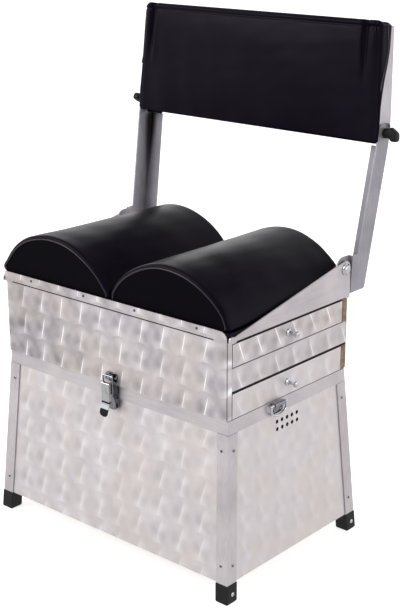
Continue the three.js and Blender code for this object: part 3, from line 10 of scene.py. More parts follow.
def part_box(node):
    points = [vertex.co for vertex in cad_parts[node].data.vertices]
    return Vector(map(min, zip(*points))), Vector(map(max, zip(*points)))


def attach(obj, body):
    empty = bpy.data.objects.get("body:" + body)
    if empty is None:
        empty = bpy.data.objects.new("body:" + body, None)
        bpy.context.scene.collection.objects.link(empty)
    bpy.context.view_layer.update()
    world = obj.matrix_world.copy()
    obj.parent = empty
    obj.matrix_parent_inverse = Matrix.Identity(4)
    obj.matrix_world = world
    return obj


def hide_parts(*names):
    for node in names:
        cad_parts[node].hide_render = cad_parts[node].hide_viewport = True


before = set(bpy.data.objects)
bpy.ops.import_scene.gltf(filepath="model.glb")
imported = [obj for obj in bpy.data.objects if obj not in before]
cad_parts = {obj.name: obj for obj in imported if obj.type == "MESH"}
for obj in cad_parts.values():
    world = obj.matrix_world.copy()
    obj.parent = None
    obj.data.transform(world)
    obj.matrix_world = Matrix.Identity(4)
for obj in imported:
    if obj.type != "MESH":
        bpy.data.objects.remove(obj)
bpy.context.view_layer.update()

bl_info = {
    "name": "Seat Box",
    "version": (1, 0, 0),
    "blender": (4, 5, 0),
    "location": "View3D > Sidebar > Seat Box",
    "description": "Finishes, soft parts and small hardware of a seat box with a folding backrest",
    "category": "Object",
}

MM = 0.001
X, Y, Z = range(3)
BASE_BODY = "box_base"
SEAT_BODY = "seat_module"
UPPER_BODY = "backrest_upper_frame"
SIDES = (("right", 1.0), ("left", -1.0))

# Sizes in millimetres, in a frame whose Y is zero at the middle of the box

CASE_HALF_Y = 151
SHIFT_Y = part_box("case_sheet_front")[0][Y] + CASE_HALF_Y * MM
ROW_Y = SHIFT_Y / MM

# Flared base, its corner rivets and the screws of its feet
FLARE_TOP_Z = 291.5
FLARE_FOOT_Z = 31.6
FLARE_TOP_HALF = (240, 147.5)
FLARE_SPREAD = (15.5, 19.7)
RIVET_HEIGHTS = (61, 243.5)
RIVET_FROM_EDGE = 12.5
RIVET_HIGH = 1.6
FOOT_SCREW_Z = 15.5
FOOT_SCREW_OUT = 1.55
FOOT_SCREW_FROM_EDGE = 11
FOOT_SCREW_RADIUS = 3.6
FOOT_SCREW_HIGH = 1.5

# Nails of the seat's front trim
NAIL_PLACES = (-176.6, -54.7, 57, 182.8)
NAIL_FACE_Y = -153
NAIL_Z = 426.6
NAIL_RADIUS = 2.3
NAIL_HIGH = 1.2

# Pivot bolts: head on the side plate, nut inside it; each profile is (radius, distance out)
PIVOT_Y = 133
PIVOT_Z = 464
PIVOT_HEAD_X = 246.8
PIVOT_NUT_X = 239.1
PIVOT_HEAD = (
    (4, -8), (4, 0), (9.6, 0), (9.8, 0.4), (9.6, 0.9), (7.6, 1.0), (7.6, 3.4), (7.2, 4.2), (5.4, 4.9),
    (2.6, 5.3), (0, 5.4),
)
PIVOT_NUT = ((6, 0), (6.4, 0.5), (6.4, 3.6), (5.8, 4), (0, 4))
NUT_SIDES = 6

# Drawer pulls: height of each, and the turned profile as (radius, distance out)
PULL_HEIGHTS = {"upper": 393.15, "lower": 312.2}
PULL_X = 239.6
PULL_Y = -4
PULL = (
    (1.5, -7), (1.5, 0), (6, 0), (6.1, 0.7), (5.7, 1.4), (3.8, 1.9), (3.1, 3), (2.7, 5.5), (2.6, 8),
    (2.9, 10.5), (3.7, 12.5), (4.7, 14.2), (5.1, 15.8), (5.0, 17), (4.4, 18), (3, 18.7), (1, 19), (0, 19),
)

# Strap rings: a level bar in the plate's barrel, closed below by a flattened arc
RING_Y = -34.5
RING_BAR_Z = 287.4
RING_HALF = 18.5
RING_DROP = 18.5
RING_ARC_SHARE = 0.58
RING_CORNER = 1.5

# Upper posts: front line, outer face of the web and its draw towards the top
UPPER_FRONT_Y = 192
UPPER_FRONT_Z = 655
UPPER_LEAN = 0.08
UPPER_X = 253.7
UPPER_BEND_Z = 690
UPPER_TAPER = 0.055
WEB_T = 2.5

# Lower posts: outer face of the web and back face of the flange at the pivot's height, with their slopes
LOWER_WEB_X = 248.4
LOWER_SPLAY = 0.0443
LOWER_BACK_Y = 193.64
LOWER_LEAN = 0.166

# Clamp knobs: sections along the axis as (distance out, lower reach, upper reach, half width, squareness)
KNOB_X = 257.0
KNOB_Y = 213
KNOB_Z = 671
KNOB_TURNS = {"right": 0, "left": 233}
KNOB_SECTIONS = (
    (0, -6.8, 6.8, 6.8, 2), (0.4, -7.7, 7.7, 7.7, 2), (1.4, -8.1, 8.2, 8.1, 2), (4, -7.8, 8.6, 7.6, 2),
    (8, -7.4, 9.2, 7.0, 2.1), (10, -8.2, 9.9, 6.8, 2.3), (11.4, -9.6, 10.3, 6.7, 2.7),
    (12.6, -10.8, 10.3, 6.6, 3.1), (14, -11.3, 9.6, 6.6, 3.6), (16, -11.5, 8.2, 6.5, 4),
    (19, -11.5, 6.2, 6.4, 4), (22, -11.3, 4.2, 6.2, 4), (23.2, -11, 3.2, 5.8, 3.6),
    (23.8, -10.4, 2.2, 5.2, 3.2), (24, -9.2, 0.6, 3.9, 3), (24, -5.5, -2.5, 1.6, 2.6),
)

# Bolsters: arches as shares of width and height over the flat underside, what rounds and softens them, and
# the bulge of the left one's outer front corner as a place and a spread in Y and Z
BOLSTER_W = 240
BOLSTER_H = 78
BOLSTER_FLOOR = 431.2
BOLSTER_HALF_Y = 149.5
BOLSTER_RIM = 6.0
BOLSTER_SAG = 0.9
SAG_HEIGHTS = (440, 500)
FOLD_HEIGHTS = (433, 445)
FOLD_FROM_ENDS = (4, 24)
BOLSTER_ROWS = 64
ARCH_POINTS = 102
UNDERSIDE_POINTS = 30
END_SET_IN = 1.0
END_DISH = 0.5
END_RING_SHARES = (0.06, 0.25, 0.5, 0.75, 0.92, 0.985)
BULGE_OUT = 7.5
BULGE_AT = (-149, 438)
BULGE_SPREAD = (20, 11)
BULGE_X = (205, 240)
WELT_FROM_MIDDLE = 148.6
WELT_INSET = 6.3
BACK_ARCH_SHARES = (
    (0.005, 0), (0.004, 0.126), (0.035, 0.273), (0.083, 0.459), (0.154, 0.645), (0.242, 0.805),
    (0.333, 0.914), (0.417, 0.974), (0.5, 0.995), (0.583, 0.974), (0.667, 0.905), (0.767, 0.767),
    (0.8625, 0.555), (0.925, 0.376), (0.965, 0.235), (0.986, 0.106), (0.99, 0.029), (0.985, 0),
)
FRONT_ARCH_SHARES = {
    "right": (
        (0.005, 0), (0.004, 0.126), (0.028, 0.273), (0.075, 0.459), (0.15, 0.651), (0.242, 0.812),
        (0.333, 0.92), (0.417, 0.978), (0.5, 0.991), (0.583, 0.972), (0.675, 0.914), (0.779, 0.786),
        (0.875, 0.606), (0.942, 0.427), (0.981, 0.273), (1, 0.126), (1.003, 0.036), (0.998, 0),
    ),
    "left": (
        (0.005, 0), (0.006, 0.126), (0.035, 0.241), (0.083, 0.408), (0.154, 0.594), (0.242, 0.76),
        (0.333, 0.888), (0.425, 0.965), (0.517, 0.994), (0.608, 0.985), (0.708, 0.927), (0.804, 0.824),
        (0.892, 0.658), (0.954, 0.478), (0.992, 0.318), (1.01, 0.164), (1.013, 0.062), (1.008, 0),
    ),
}

# Backrest: how deep its cover wraps round the posts by height, and how far in from each end it is drawn in
PAD_BOTTOM = 656
PAD_TOP = 842
PAD_BACK = 19.9
PAD_RIM = 3.2
WRAP_DEPTHS = (
    (656, 1.2), (690, 2.0), (712, 3.2), (730, 6.2), (753, 11.2), (780, 19.5), (800, 23.5), (842, 26),
)
VALLEY_IN = {"right": 30, "left": 21}
COVER_PAST_POST = 3.2
COVER_CORNER = 4.5
CROWN = 8.0
VALLEY_DEEP = 4.6
VALLEY_WIDE = 3.4
VALLEY_STARTS_SHARES = (0.45, 0.8)
OUTER_PUFF = 2.8
INNER_PUFF = 1.6
INNER_PUFF_WIDE = 5.0
INNER_PUFF_FROM_VALLEY = 9
TOP_BEAD = 1.1
TOP_BEAD_DOWN = 4.6
TOP_BEAD_WIDE = 1.2
TOP_GROOVE = 1.2
TOP_GROOVE_DOWN = 7.8
TOP_GROOVE_WIDE = 1.6
END_TURNS_IN = 1.6
SLOT_CLEAR = 0.5
SLOT_CLEAR_INSIDE = 0.7
SLOT_CLOSES = (834.8, 836.3)
GATHER_AT = (231, 836)
GATHER_SPREAD = (10, 8)

# Seam on each end of the cover: (height, distance ahead of the cover's rear edge)
SEAM_PLACES = ((838, 11), (825, 10), (806, 6), (790, 5.5), (770, 7), (750, 7.5), (738, 7))
SEAM_PROUD = 3.3
SEAM_RADIUS = 0.9
SEAM_POINTS = 90
SEAM_SIDES = 10

# Hem below each end of the backrest: (first X, how far it hangs)
HEMS = {"right": (241, 9), "left": (211, 6.8)}
HEM_END_X = 251.5
HEM_TOP_Z = 661.0
HEM_BACK = 17.9
HEM_HALF_THICK = 1.5
HEM_SLOPE_LENGTH = 8

# Painted shade in the gaps between sheets and drawers and inside the vents, and painted dark reflections on
# the latch lever, each a set of (axis, low, high) limits in mm of the row frame
CORNER_GAP_SHADE = (((X, 238.4, 240.5), (Y, ROW_Y - 150.9, ROW_Y - 149.2)),)
MIDDLE_GAP_SHADE = (((Z, 333, 336.2),),)
DRAWER_END_GAP_SHADE = ((Y, ROW_Y - 140, ROW_Y - 137.6),)
UPPER_DRAWER_GAP_SHADES = (((Z, 409.2, 413.5),), DRAWER_END_GAP_SHADE)
LOWER_DRAWER_GAP_SHADES = (((Z, 331.8, 333),), DRAWER_END_GAP_SHADE)
VENT_INSIDE_SHADE = tuple(((X, x - 30, x + 30), (Y, ROW_Y - 40, ROW_Y + 30), (Z, 230, 265)) for x in (250, -250))
LATCH_DARK_REFLECTIONS = (((Z, 240, 255),), ((Z, 264, 267),))

# Camera fitted to the photograph, and the size of its picture in pixels
CAMERA_AZIMUTH = 0.7170714651
CAMERA_ELEVATION = 0.3167196659
CAMERA_ROLL = -0.0021518214
CAMERA_FAR = 4.719684542
CAMERA_SIDEWAYS = -0.087028698
CAMERA_UP = -0.762490711
CAMERA_UNIT = 0.48
FOCAL_PIXELS = 1304.33
PICTURE_HEIGHT = 610
SENSOR = 36
CAMERA_REACH = 50

# Soft lamps: name, place, width in metres and power; all look at one point of the seat box
LAMPS = (
    ("key", (-1.6, -2.2, 2.2), 1.8, 42),
    ("side", (2.6, -0.6, 1.5), 1.6, 16),
    ("back", (-2.5, 2.6, 1.15), 1.1, 2.9),
)
LAMP_TARGET = (0, 0, 0.4)
FLOOR_HALF = 60000
FLOOR_GLOW = 0.75

# Studio by direction: the strength at the horizon, and what dims it as (low, high, share left)
SKY_RISE = (-0.35, 0.1, 0.82, 1.3)
OVERHEAD = (0.3, 0.75, 0.55)
ROOM = (0.8, 0.93, 0.1)
ROOM_WAY = (0.62, -0.72, 0.31)


# Small tools

def lin(text):
    """Linear RGBA of an sRGB hex colour."""
    out = []
    for k in (1, 3, 5):
        c = int(text[k:k + 2], 16) / 255
        out.append(c / 12.92 if c <= 0.04045 else ((c + 0.055) / 1.055) ** 2.4)
    return (*out, 1.0)


def place(points):
    """Millimetres in the box's own frame to metres in the row frame."""
    p = np.asarray(points, float) * MM
    p[..., Y] += SHIFT_Y
    return p


def mesh_object(name, points, faces, material, smooth=True):
    """A named object at the origin from points in millimetres and a list of faces."""
    mesh = bpy.data.meshes.new(name)
    mesh.from_pydata(place(points).tolist(), [], [tuple(int(i) for i in f) for f in faces])
    mesh.polygons.foreach_set("use_smooth", np.full(len(mesh.polygons), smooth))
    mesh.materials.append(material)
    mesh.update()
    obj = bpy.data.objects.new(name, mesh)
    bpy.context.scene.collection.objects.link(obj)
    return obj


def second_finish(obj, material, chosen):
    """Gives the chosen faces of a piece, marked true in an array, a finish of their own."""
    obj.data.materials.append(material)
    obj.data.polygons.foreach_set("material_index", chosen.astype(np.int32))


def grid_faces(rows, cols):
    """Quads between successive closed rings of a grid."""
    j, i = np.meshgrid(np.arange(rows - 1), np.arange(cols), indexing="ij")
    k = (i + 1) % cols
    quads = np.stack([j * cols + i, j * cols + k, (j + 1) * cols + k, (j + 1) * cols + i], -1)
    return quads.reshape(-1, 4).tolist()


def lofted(rings):
    """Points and faces of rings stacked in order, capped; they run anticlockwise seen from the last."""
    rings = np.asarray(rings, float)
    n, m = rings.shape[:2]
    faces = grid_faces(n, m)
    faces.append(list(range(m))[::-1])
    faces.append(list(range((n - 1) * m, n * m)))
    return rings.reshape(-1, 3), faces


def circle(count):
    """Angles spread evenly round a full turn."""
    return np.linspace(0, 2 * np.pi, count, endpoint=False)


def rising(value, start, end):
    """Straight change from 0 at start to 1 at end, level beyond them; end may be the lower one."""
    return np.clip((value - start) / (end - start), 0, 1)


def bell(distance, width):
    """Gaussian: one at no distance, exp(-1) at the width."""
    return np.exp(-(distance / width) ** 2)


def axes_for(way):
    """The direction as a unit vector, and two that make a right-handed set with it."""
    way = np.asarray(way, float) / np.linalg.norm(way)
    help_axis = np.array([0, 0, 1.0]) if abs(way[2]) < 0.9 else np.array([1.0, 0, 0])
    u = np.cross(help_axis, way)
    u /= np.linalg.norm(u)
    return way, u, np.cross(way, u)


def turned(profile, at, way, sides=48):
    """Rings of (radius, height) round the way axis: at + r (u cos a + v sin a) + h way."""
    way, u, v = axes_for(way)
    a = circle(sides)
    ring = np.cos(a)[:, None] * u + np.sin(a)[:, None] * v
    smallest = 0.02
    return lofted([np.asarray(at, float) + ring * max(r, smallest) + way * h for r, h in profile])


def tube(path, radius, sides, closed=False):
    """Round tube along points, with rings turned as little as possible from one to the next."""
    p = np.asarray(path, float)
    ways = np.roll(p, -1, 0) - np.roll(p, 1, 0)
    if not closed:
        ways[0] = p[1] - p[0]
        ways[-1] = p[-1] - p[-2]
    ways /= np.linalg.norm(ways, axis=1)[:, None]
    _, u, _ = axes_for(ways[0])
    a = circle(sides)
    rings = []
    for point, way in zip(p, ways):
        u = u - way * (u @ way)
        u /= np.linalg.norm(u)
        v = np.cross(way, u)
        rings.append(point + radius * (np.cos(a)[:, None] * u + np.sin(a)[:, None] * v))
    if not closed:
        return lofted(rings)
    faces = np.asarray(grid_faces(len(rings) + 1, sides)) % (len(rings) * sides)
    return np.vstack(rings), faces.tolist()


def smooth_path(points, count, closed=False):
    """Points spread evenly along the Catmull-Rom curve through the given ones."""
    p = np.asarray(points, float)
    n = len(p)
    steps = 24
    t = np.linspace(0, 1, steps, endpoint=False)[:, None]
    fine = []
    for k in range(n if closed else n - 1):
        near = [(k + o) % n if closed else min(max(k + o, 0), n - 1) for o in (-1, 0, 1, 2)]
        a, b, c, d = p[near]
        cubic = 2 * b + (c - a) * t + (2 * a - 5 * b + 4 * c - d) * t**2 + (3 * b - a - 3 * c + d) * t**3
        fine.append(0.5 * cubic)
    fine = np.vstack(fine + [p[:1] if closed else p[-1:]])
    run = np.concatenate([[0], np.cumsum(np.linalg.norm(np.diff(fine, axis=0), axis=1))])
    at = np.linspace(0, run[-1], count, endpoint=not closed)
    return np.stack([np.interp(at, run, fine[:, k]) for k in range(p.shape[1])], 1)


def merged(parts):
    """Several (points, faces) pairs as one."""
    points, faces, start = [], [], 0
    for p, f in parts:
        points.append(np.asarray(p))
        faces += [[i + start for i in face] for face in f]
        start += len(p)
    return np.vstack(points), faces


def mirrored(points, faces, side):
    """The piece for one side: the right one as it is, the left one turned over in X."""
    if side > 0:
        return points, faces
    return np.asarray(points) * [-1, 1, 1], [f[::-1] for f in faces]


def soft_noise(points, size, seed):
    """Smooth noise: the sum of sin(k.p + c) for seeded k of wavelengths near size, scaled by their count."""
    waves = 10
    rng = np.random.default_rng(seed)
    total = np.zeros(len(points))
    for _ in range(waves):
        k = rng.normal(size=3)
        k *= 2 * np.pi / (size * rng.uniform(0.7, 1.5) * np.linalg.norm(k))
        total += np.sin(points @ k + rng.uniform(0, 2 * np.pi))
    return total / waves ** 0.5


# Materials

# The setting that a second word in add_node's kind goes to
MODES = {"Math": "operation", "VectorMath": "operation", "MapRange": "interpolation_type", "Mix": "data_type",
         "TexWave": "wave_type", "TexVoronoi": "feature"}
PLUS = "Math ADD"
MINUS = "Math SUBTRACT"
TIMES = "Math MULTIPLY"
OVER = "Math DIVIDE"
SIZE_OF = "Math ABSOLUTE"
EASE = "MapRange SMOOTHSTEP"
BLEND = "Mix RGBA"

# A wave texture's lines repeat every 2 pi / 20 of its unit
WAVE_STEP = 2 * math.pi / 20


def fill(socket, value):
    """Links an input to another node's output, or sets it to a value."""
    if isinstance(value, bpy.types.NodeSocket):
        socket.id_data.links.new(value, socket)
    else:
        socket.default_value = value


def add_node(tree, kind, *values, out=0, **settings):
    """Adds a node with its settings and links, and returns the output that out picks from those in use.

    kind is the node's type and, after a space, its mode. values go to the inputs in use, in order. A setting
    with an input's name, written with _ for a space, goes to that input; any other is the node's own.
    """
    kind, *modes = kind.split()
    node = tree.nodes.new("ShaderNode" + kind)
    for mode in modes:
        setattr(node, MODES[kind], mode)
    for socket, value in zip([s for s in node.inputs if s.enabled], values):
        fill(socket, value)
    for key, value in settings.items():
        name = key.replace("_", " ")
        if name in node.inputs:
            fill(node.inputs[name], value)
        else:
            setattr(node, key, value)
    if isinstance(out, str):
        return node.outputs[out]
    return [s for s in node.outputs if s.enabled][out]


def new_material(name):
    """An empty material, add_node bound to its tree, and its object coordinates in metres."""
    material = bpy.data.materials.new(name)
    material.use_nodes = True
    node = partial(add_node, material.node_tree)
    return material, node, node("TexCoord", out="Object")


def surface(material, **inputs):
    """Sets or links the inputs of a material's surface shader and returns the material."""
    shader = material.node_tree.nodes["Principled BSDF"]
    for key, value in inputs.items():
        fill(shader.inputs[key.replace("_", " ")], value)
    return material


def per(size):
    """Scale of a pattern whose features are that many millimetres across."""
    return 1 / (size * MM)


def in_bands(node, axes, bands):
    """One inside any of the bands, else zero; a band is a set of (axis, low, high) limits in mm."""
    total = 0.0
    for limits in bands:
        inside = 1.0
        for axis, low, high in limits:
            fits = node("Math COMPARE", axes[axis], (low + high) / 2 * MM, (high - low) / 2 * MM)
            inside = node(TIMES, inside, fits)
        total = node("Math MAXIMUM", total, inside)
    return total


# Engine turning: discs of ring scratches, rolled on one after another so that each lies over the edges of
# those before it. The eye gets a grid of soft squares; each carries a painted highlight streak, with a
# painted glow, shade and fan, for how its scratches catch the light. Shares are of the pitch.
DISC_PITCH = 44
DISC_ROW_SHARE = 1.05
DISC_SWAY_SHARE = 0.28
DISC_RADIUS_SHARE = 0.64
DISC_RIM_SHARES = (0.44, 0.66)
LATER_DISCS = ((1, 0), (-1, -1), (0, -1), (1, -1))
SCRATCH_STEP = 1.2566
STREAK_MIDDLE_SHARE = 0.04
STREAK_END_SHARES = (0.49, 0.3)
STREAK_THIN_SHARES = (0.5, 0.12, 0.006, 0.03)
MID_TONE = 0.62
SHEET_METAL = 0.85


def disc_around(node, spot):
    """Place within the disc that lies on top at a spot, in pitches from the disc's middle."""
    within = node("VectorMath SUBTRACT", spot, node("VectorMath FLOOR", spot))
    local = node("VectorMath SUBTRACT", within, (0.5, 0.5, 0))
    for dx, dy in LATER_DISCS:
        other = node("VectorMath SUBTRACT", within, (0.5 + dx, 0.5 + dy, 0))
        covers = node("Math LESS_THAN", node("VectorMath LENGTH", other), DISC_RADIUS_SHARE)
        local = node("Mix VECTOR", covers, local, other)
    return local


def disc_glints(node, local, lean):
    """Painted highlights and shade of a disc's scratches: a thin bright streak, a glow about it, a shade
    beside it and a soft light and dark fan.
    """
    x, y, _ = node("SeparateXYZ", local, out=slice(3))
    c = math.cos(math.radians(lean))
    s = math.sin(math.radians(lean))
    away = node(MINUS, node(TIMES, x, c), node(TIMES, y, s))
    along = node(PLUS, node(TIMES, x, s), node(TIMES, y, c))
    radius = node("VectorMath LENGTH", local)
    off_line = node(SIZE_OF, away)
    off_middle = node(SIZE_OF, node(PLUS, along, -STREAK_MIDDLE_SHARE))
    thin = node(EASE, off_middle, *STREAK_THIN_SHARES)
    ends = node(EASE, off_middle, *STREAK_END_SHARES)
    streak = node(TIMES, node(EASE, node(OVER, off_line, thin), 1.25, 0.25), ends)
    glow = node(TIMES, node(EASE, off_line, 0.2, 0.0), ends)
    shade = node(TIMES, node(EASE, away, -0.48, -0.03), node(EASE, away, 0.05, -0.05))
    shade = node(TIMES, shade, node(EASE, along, -0.35, 0.35, 0.25, 1.0))
    shade = node(TIMES, shade, node(EASE, radius, 0.63, 0.36))
    square = node(TIMES, radius, radius)
    bow_tie = node(MINUS, node(TIMES, node(TIMES, along, along), 2.0), square)
    bow_tie = node(EASE, node(OVER, bow_tie, node(PLUS, square, 0.004)), -0.9, 0.95, -1.0, 1.0)
    fan = node(TIMES, bow_tie, node(EASE, radius, 0.0, 0.22))
    fan = node(TIMES, fan, node(EASE, radius, 0.64, 0.3))
    return streak, glow, shade, fan, node(EASE, radius, *DISC_RIM_SHARES)


def jewelled(name, across, lean, colours, force, gap_shades=(), end_shade=0.0):
    """Engine-turned aluminium sheet; across is its level axis and lean the angle of its painted highlight
    streaks.

    colours are its dark, light and warm tone and the colour of its painted highlight streaks, force the
    contrast of the discs, the next argument the bands of painted shade in the gaps between parts, and the
    last how much painted shade darkens a wide sheet towards its low end.
    """
    material, node, coords = new_material(name)
    axes = node("SeparateXYZ", coords, out=slice(3))
    dark, light, warm, bright = (lin(text) for text in colours)
    sway = node("TexNoise", coords, Scale=per(111.1), Detail=1)
    sway = node(TIMES, node(MINUS, sway, 0.5), DISC_SWAY_SHARE)
    column = node(PLUS, node(OVER, axes[across], DISC_PITCH * MM), sway)
    row = node(OVER, axes[Z], DISC_PITCH * DISC_ROW_SHARE * MM)
    local = disc_around(node, node("CombineXYZ", column, row))
    streak, glow, shade, fan, rim = disc_glints(node, local, lean)
    scratch = node("TexWave RINGS", local, out="Fac", rings_direction="Z", Distortion=2, Detail=3,
                   Detail_Scale=2, Scale=WAVE_STEP * DISC_PITCH / SCRATCH_STEP)

    # Patches of a hand's width that set how deep the painted shade beside each streak is, patches that set
    # how strong the painted streaks are, and clouding of a few centimetres
    shade_strength = node(EASE, node("TexNoise", coords, Scale=per(142.9), Detail=1), 0.35, 0.6, 0.08, 0.42)
    lively = node(EASE, node("TexNoise", coords, Scale=per(47.62), Detail=1), 0.35, 0.6, 0.3, 1.0)
    cloud = node("TexNoise", coords, Scale=per(29.41), Detail=3)
    stain = node(EASE, node("TexNoise", coords, Scale=per(76.92), Detail=2), 0.42, 0.62, 0.0, 0.3)

    tone = node(PLUS, node(TIMES, node(MINUS, scratch, 0.5), 0.1), MID_TONE)
    # Painted shade beside each streak, a painted light and dark fan and a painted glow about the streak
    tone = node(MINUS, tone, node(TIMES, shade, shade_strength))
    tone = node(PLUS, tone, node(TIMES, fan, 0.16))
    tone = node(PLUS, tone, node(TIMES, glow, 0.1))
    tone = node(PLUS, tone, node(TIMES, node(MINUS, cloud, 0.5), 0.8))
    tone = node(MINUS, tone, node(TIMES, rim, 0.1))
    # Painted shade: the sheet darkens towards the low end of its level axis
    if end_shade:
        tone = node(MINUS, tone, node(EASE, axes[across], 60 * MM, -240 * MM, 0.0, end_shade))
    tone = node(TIMES, node(MINUS, tone, MID_TONE), 0.1 + 0.9 * force)
    tone = node(PLUS, tone, MID_TONE, use_clamp=True)
    color = node(BLEND, tone, dark, light)
    color = node(BLEND, stain, color, warm)
    # Painted highlight streaks, in their own colour
    streak = node(TIMES, node(TIMES, streak, lively), max(0.05, 1.05 * force - 0.08))
    color = node(BLEND, streak, color, bright)
    rough = node(PLUS, node(TIMES, scratch, 0.06), 0.38)
    metal = SHEET_METAL
    # Painted shade in the gaps between parts: dark, rough and not metallic
    if gap_shades:
        painted_dark_mask = in_bands(node, axes, gap_shades)
        color = node(BLEND, painted_dark_mask, color, lin("#120f10"))
        rough = node("Math MAXIMUM", rough, painted_dark_mask)
        metal = node(TIMES, node(MINUS, 1.0, painted_dark_mask), SHEET_METAL)
    normal = node("Bump", Height=scratch, Strength=0.4, Distance=0.02 * MM)
    return surface(material, Base_Color=color, Metallic=metal, Roughness=rough, Normal=normal)


# Shade inside a lower post's fold, where the bent sheet reflects only itself. Heights are over the pivot.
FOLD_SKIN = 1.3
FOLD_FLANGE = 5
FOLD_STARTS = (30 * MM, 60 * MM)
FOLD_REACH = (50 * MM, 180 * MM, 4 * MM, 19 * MM)
FOLD_STRENGTH = (30 * MM, 150 * MM, 0.25, 1.0)


def fold_shade(node, coords):
    """How dark a lower post's inner faces are, by their distance from the fold: most near its top."""
    axes = node("SeparateXYZ", coords, out=slice(3))
    up = node(MINUS, axes[Z], PIVOT_Z * MM)
    web = node(PLUS, node(TIMES, up, LOWER_SPLAY), LOWER_WEB_X * MM)
    back = node(PLUS, node(TIMES, up, LOWER_LEAN), LOWER_BACK_Y * MM + SHIFT_Y)
    inboard = node(MINUS, web, node(SIZE_OF, axes[X]))
    ahead = node(MINUS, back, axes[Y])
    a = node("Math MAXIMUM", node(MINUS, inboard, WEB_T * MM), 0.0)
    b = node("Math MAXIMUM", node(MINUS, ahead, WEB_T * MM), 0.0)
    far = node("Math SQRT", node(PLUS, node(TIMES, a, a), node(TIMES, b, b)))
    near = node(EASE, node(OVER, far, node(EASE, up, *FOLD_REACH)), 1.0, 0.2, 0.0, 0.8)
    shade = node(TIMES, near, node(EASE, up, *FOLD_STRENGTH))
    flange = node(TIMES, node("Math GREATER_THAN", inboard, FOLD_FLANGE * MM), 0.16)
    shade = node(PLUS, node(PLUS, shade, flange), 0.04)
    inner = node(TIMES, node("Math GREATER_THAN", inboard, FOLD_SKIN * MM),
                 node("Math GREATER_THAN", ahead, FOLD_SKIN * MM))
    return node(TIMES, shade, node(TIMES, inner, node(EASE, up, *FOLD_STARTS)))


def satin(name, colours, along, rough=0.42, with_fold_shade=False):
    """Milled aluminium sheet: fine draw lines, faint clouding and a few scuffs, a soft satin to the eye.

    along stretches the lines along one axis. The real lines are finer; they are drawn 1.1 mm wide to show.
    """
    material, node, coords = new_material(name)
    light, dark = (lin(text) for text in colours)
    lines = node("TexNoise", node("VectorMath MULTIPLY", coords, along), Scale=per(1.1111), Detail=2)
    cloud = node("TexNoise", coords, Scale=per(55.56), Detail=3)
    scuff = node(EASE, node("TexNoise", coords, Scale=per(7.143), Detail=6, Roughness=0.75), 0.62, 0.74)
    tone = node(PLUS, node(TIMES, lines, 0.45), node(TIMES, cloud, 0.55))
    color = node(BLEND, node(EASE, tone, 0.3, 0.7), dark, light)
    color = node(BLEND, node(TIMES, scuff, 0.25), color, lin("#8f8d90"))
    # Painted shade inside a lower post's fold
    if with_fold_shade:
        color = node(BLEND, fold_shade(node, coords), color, lin("#1a171a"))
    rough = node(PLUS, node(TIMES, tone, 0.14), rough - 0.07)
    normal = node("Bump", Height=lines, Strength=0.4, Distance=0.03 * MM)
    return surface(material, Base_Color=color, Metallic=SHEET_METAL, Roughness=rough, Normal=normal)


def vinyl(name, colours, gloss=0.27, specular=0.07):
    """Embossed upholstery vinyl: a leather-like grain of 1.1 mm cells and gentle clouding in a soft sheen."""
    material, node, coords = new_material(name)
    base, light = (lin(text) for text in colours)
    cells = node("TexVoronoi DISTANCE_TO_EDGE", coords, Scale=per(1.1111))
    pores = node("TexNoise", coords, Scale=per(0.4545), Detail=2)
    grain = node(PLUS, node(EASE, cells, 0.0, 0.25), node(TIMES, pores, 0.4))
    cloud = node("TexNoise", coords, Scale=per(71.43), Detail=3)
    color = node(BLEND, node(EASE, cloud, 0.3, 0.7, 0.0, 0.6), base, light)
    rough = node(PLUS, node(PLUS, node(TIMES, cloud, 0.12), node(TIMES, grain, 0.05)), gloss)
    normal = node("Bump", Height=grain, Strength=0.35, Distance=0.05 * MM)
    return surface(material, Base_Color=color, Roughness=rough, Normal=normal, Specular_IOR_Level=specular,
                   Specular_Tint=lin("#f6e9f6"))


def plywood(name, colours, painted_dark_bands=()):
    """Oiled plywood: long grain, 8 mm across, over layers of 2.9 mm that show through; matt to the eye."""
    material, node, coords = new_material(name)
    dark, light, edge = (lin(text) for text in colours)
    stretched = node("VectorMath MULTIPLY", coords, (0.05, 1.0, 1.0))
    grain = node("TexNoise", stretched, Scale=per(7.692), Detail=6, Roughness=0.7)
    layers = node("TexWave BANDS", coords, out="Fac", bands_direction="X", Distortion=1.5, Detail=2,
                  Detail_Scale=3, Scale=WAVE_STEP * per(2.856))
    color = node(BLEND, node(EASE, grain, 0.3, 0.7), dark, light)
    color = node(BLEND, node(TIMES, node(EASE, layers, 0.55, 0.8), 0.35), color, edge)
    # The given bands take painted shade, as inside the vents
    if painted_dark_bands:
        painted_dark_mask = in_bands(node, node("SeparateXYZ", coords, out=slice(3)), painted_dark_bands)
        color = node(BLEND, painted_dark_mask, color, lin("#060606"))
    rough = node(EASE, grain, 0.2, 0.8, 0.62, 0.78)
    normal = node("Bump", Height=grain, Strength=0.4, Distance=0.15 * MM)
    return surface(material, Base_Color=color, Roughness=rough, Normal=normal)


def moulded(name, colours):
    """Moulded black plastic: a spark-eroded texture of 0.7 mm grains that dulls its shine."""
    material, node, coords = new_material(name)
    base, light = (lin(text) for text in colours)
    spark = node("TexNoise", coords, Scale=per(0.7143), Detail=2)
    cloud = node("TexNoise", coords, Scale=per(16.667), Detail=3)
    color = node(BLEND, node(EASE, cloud, 0.35, 0.7, 0.0, 0.5), base, light)
    rough = node(EASE, spark, 0.3, 0.7, 0.4, 0.52)
    normal = node("Bump", Height=spark, Strength=0.4, Distance=0.04 * MM)
    return surface(material, Base_Color=color, Roughness=rough, Normal=normal, Specular_IOR_Level=0.22)


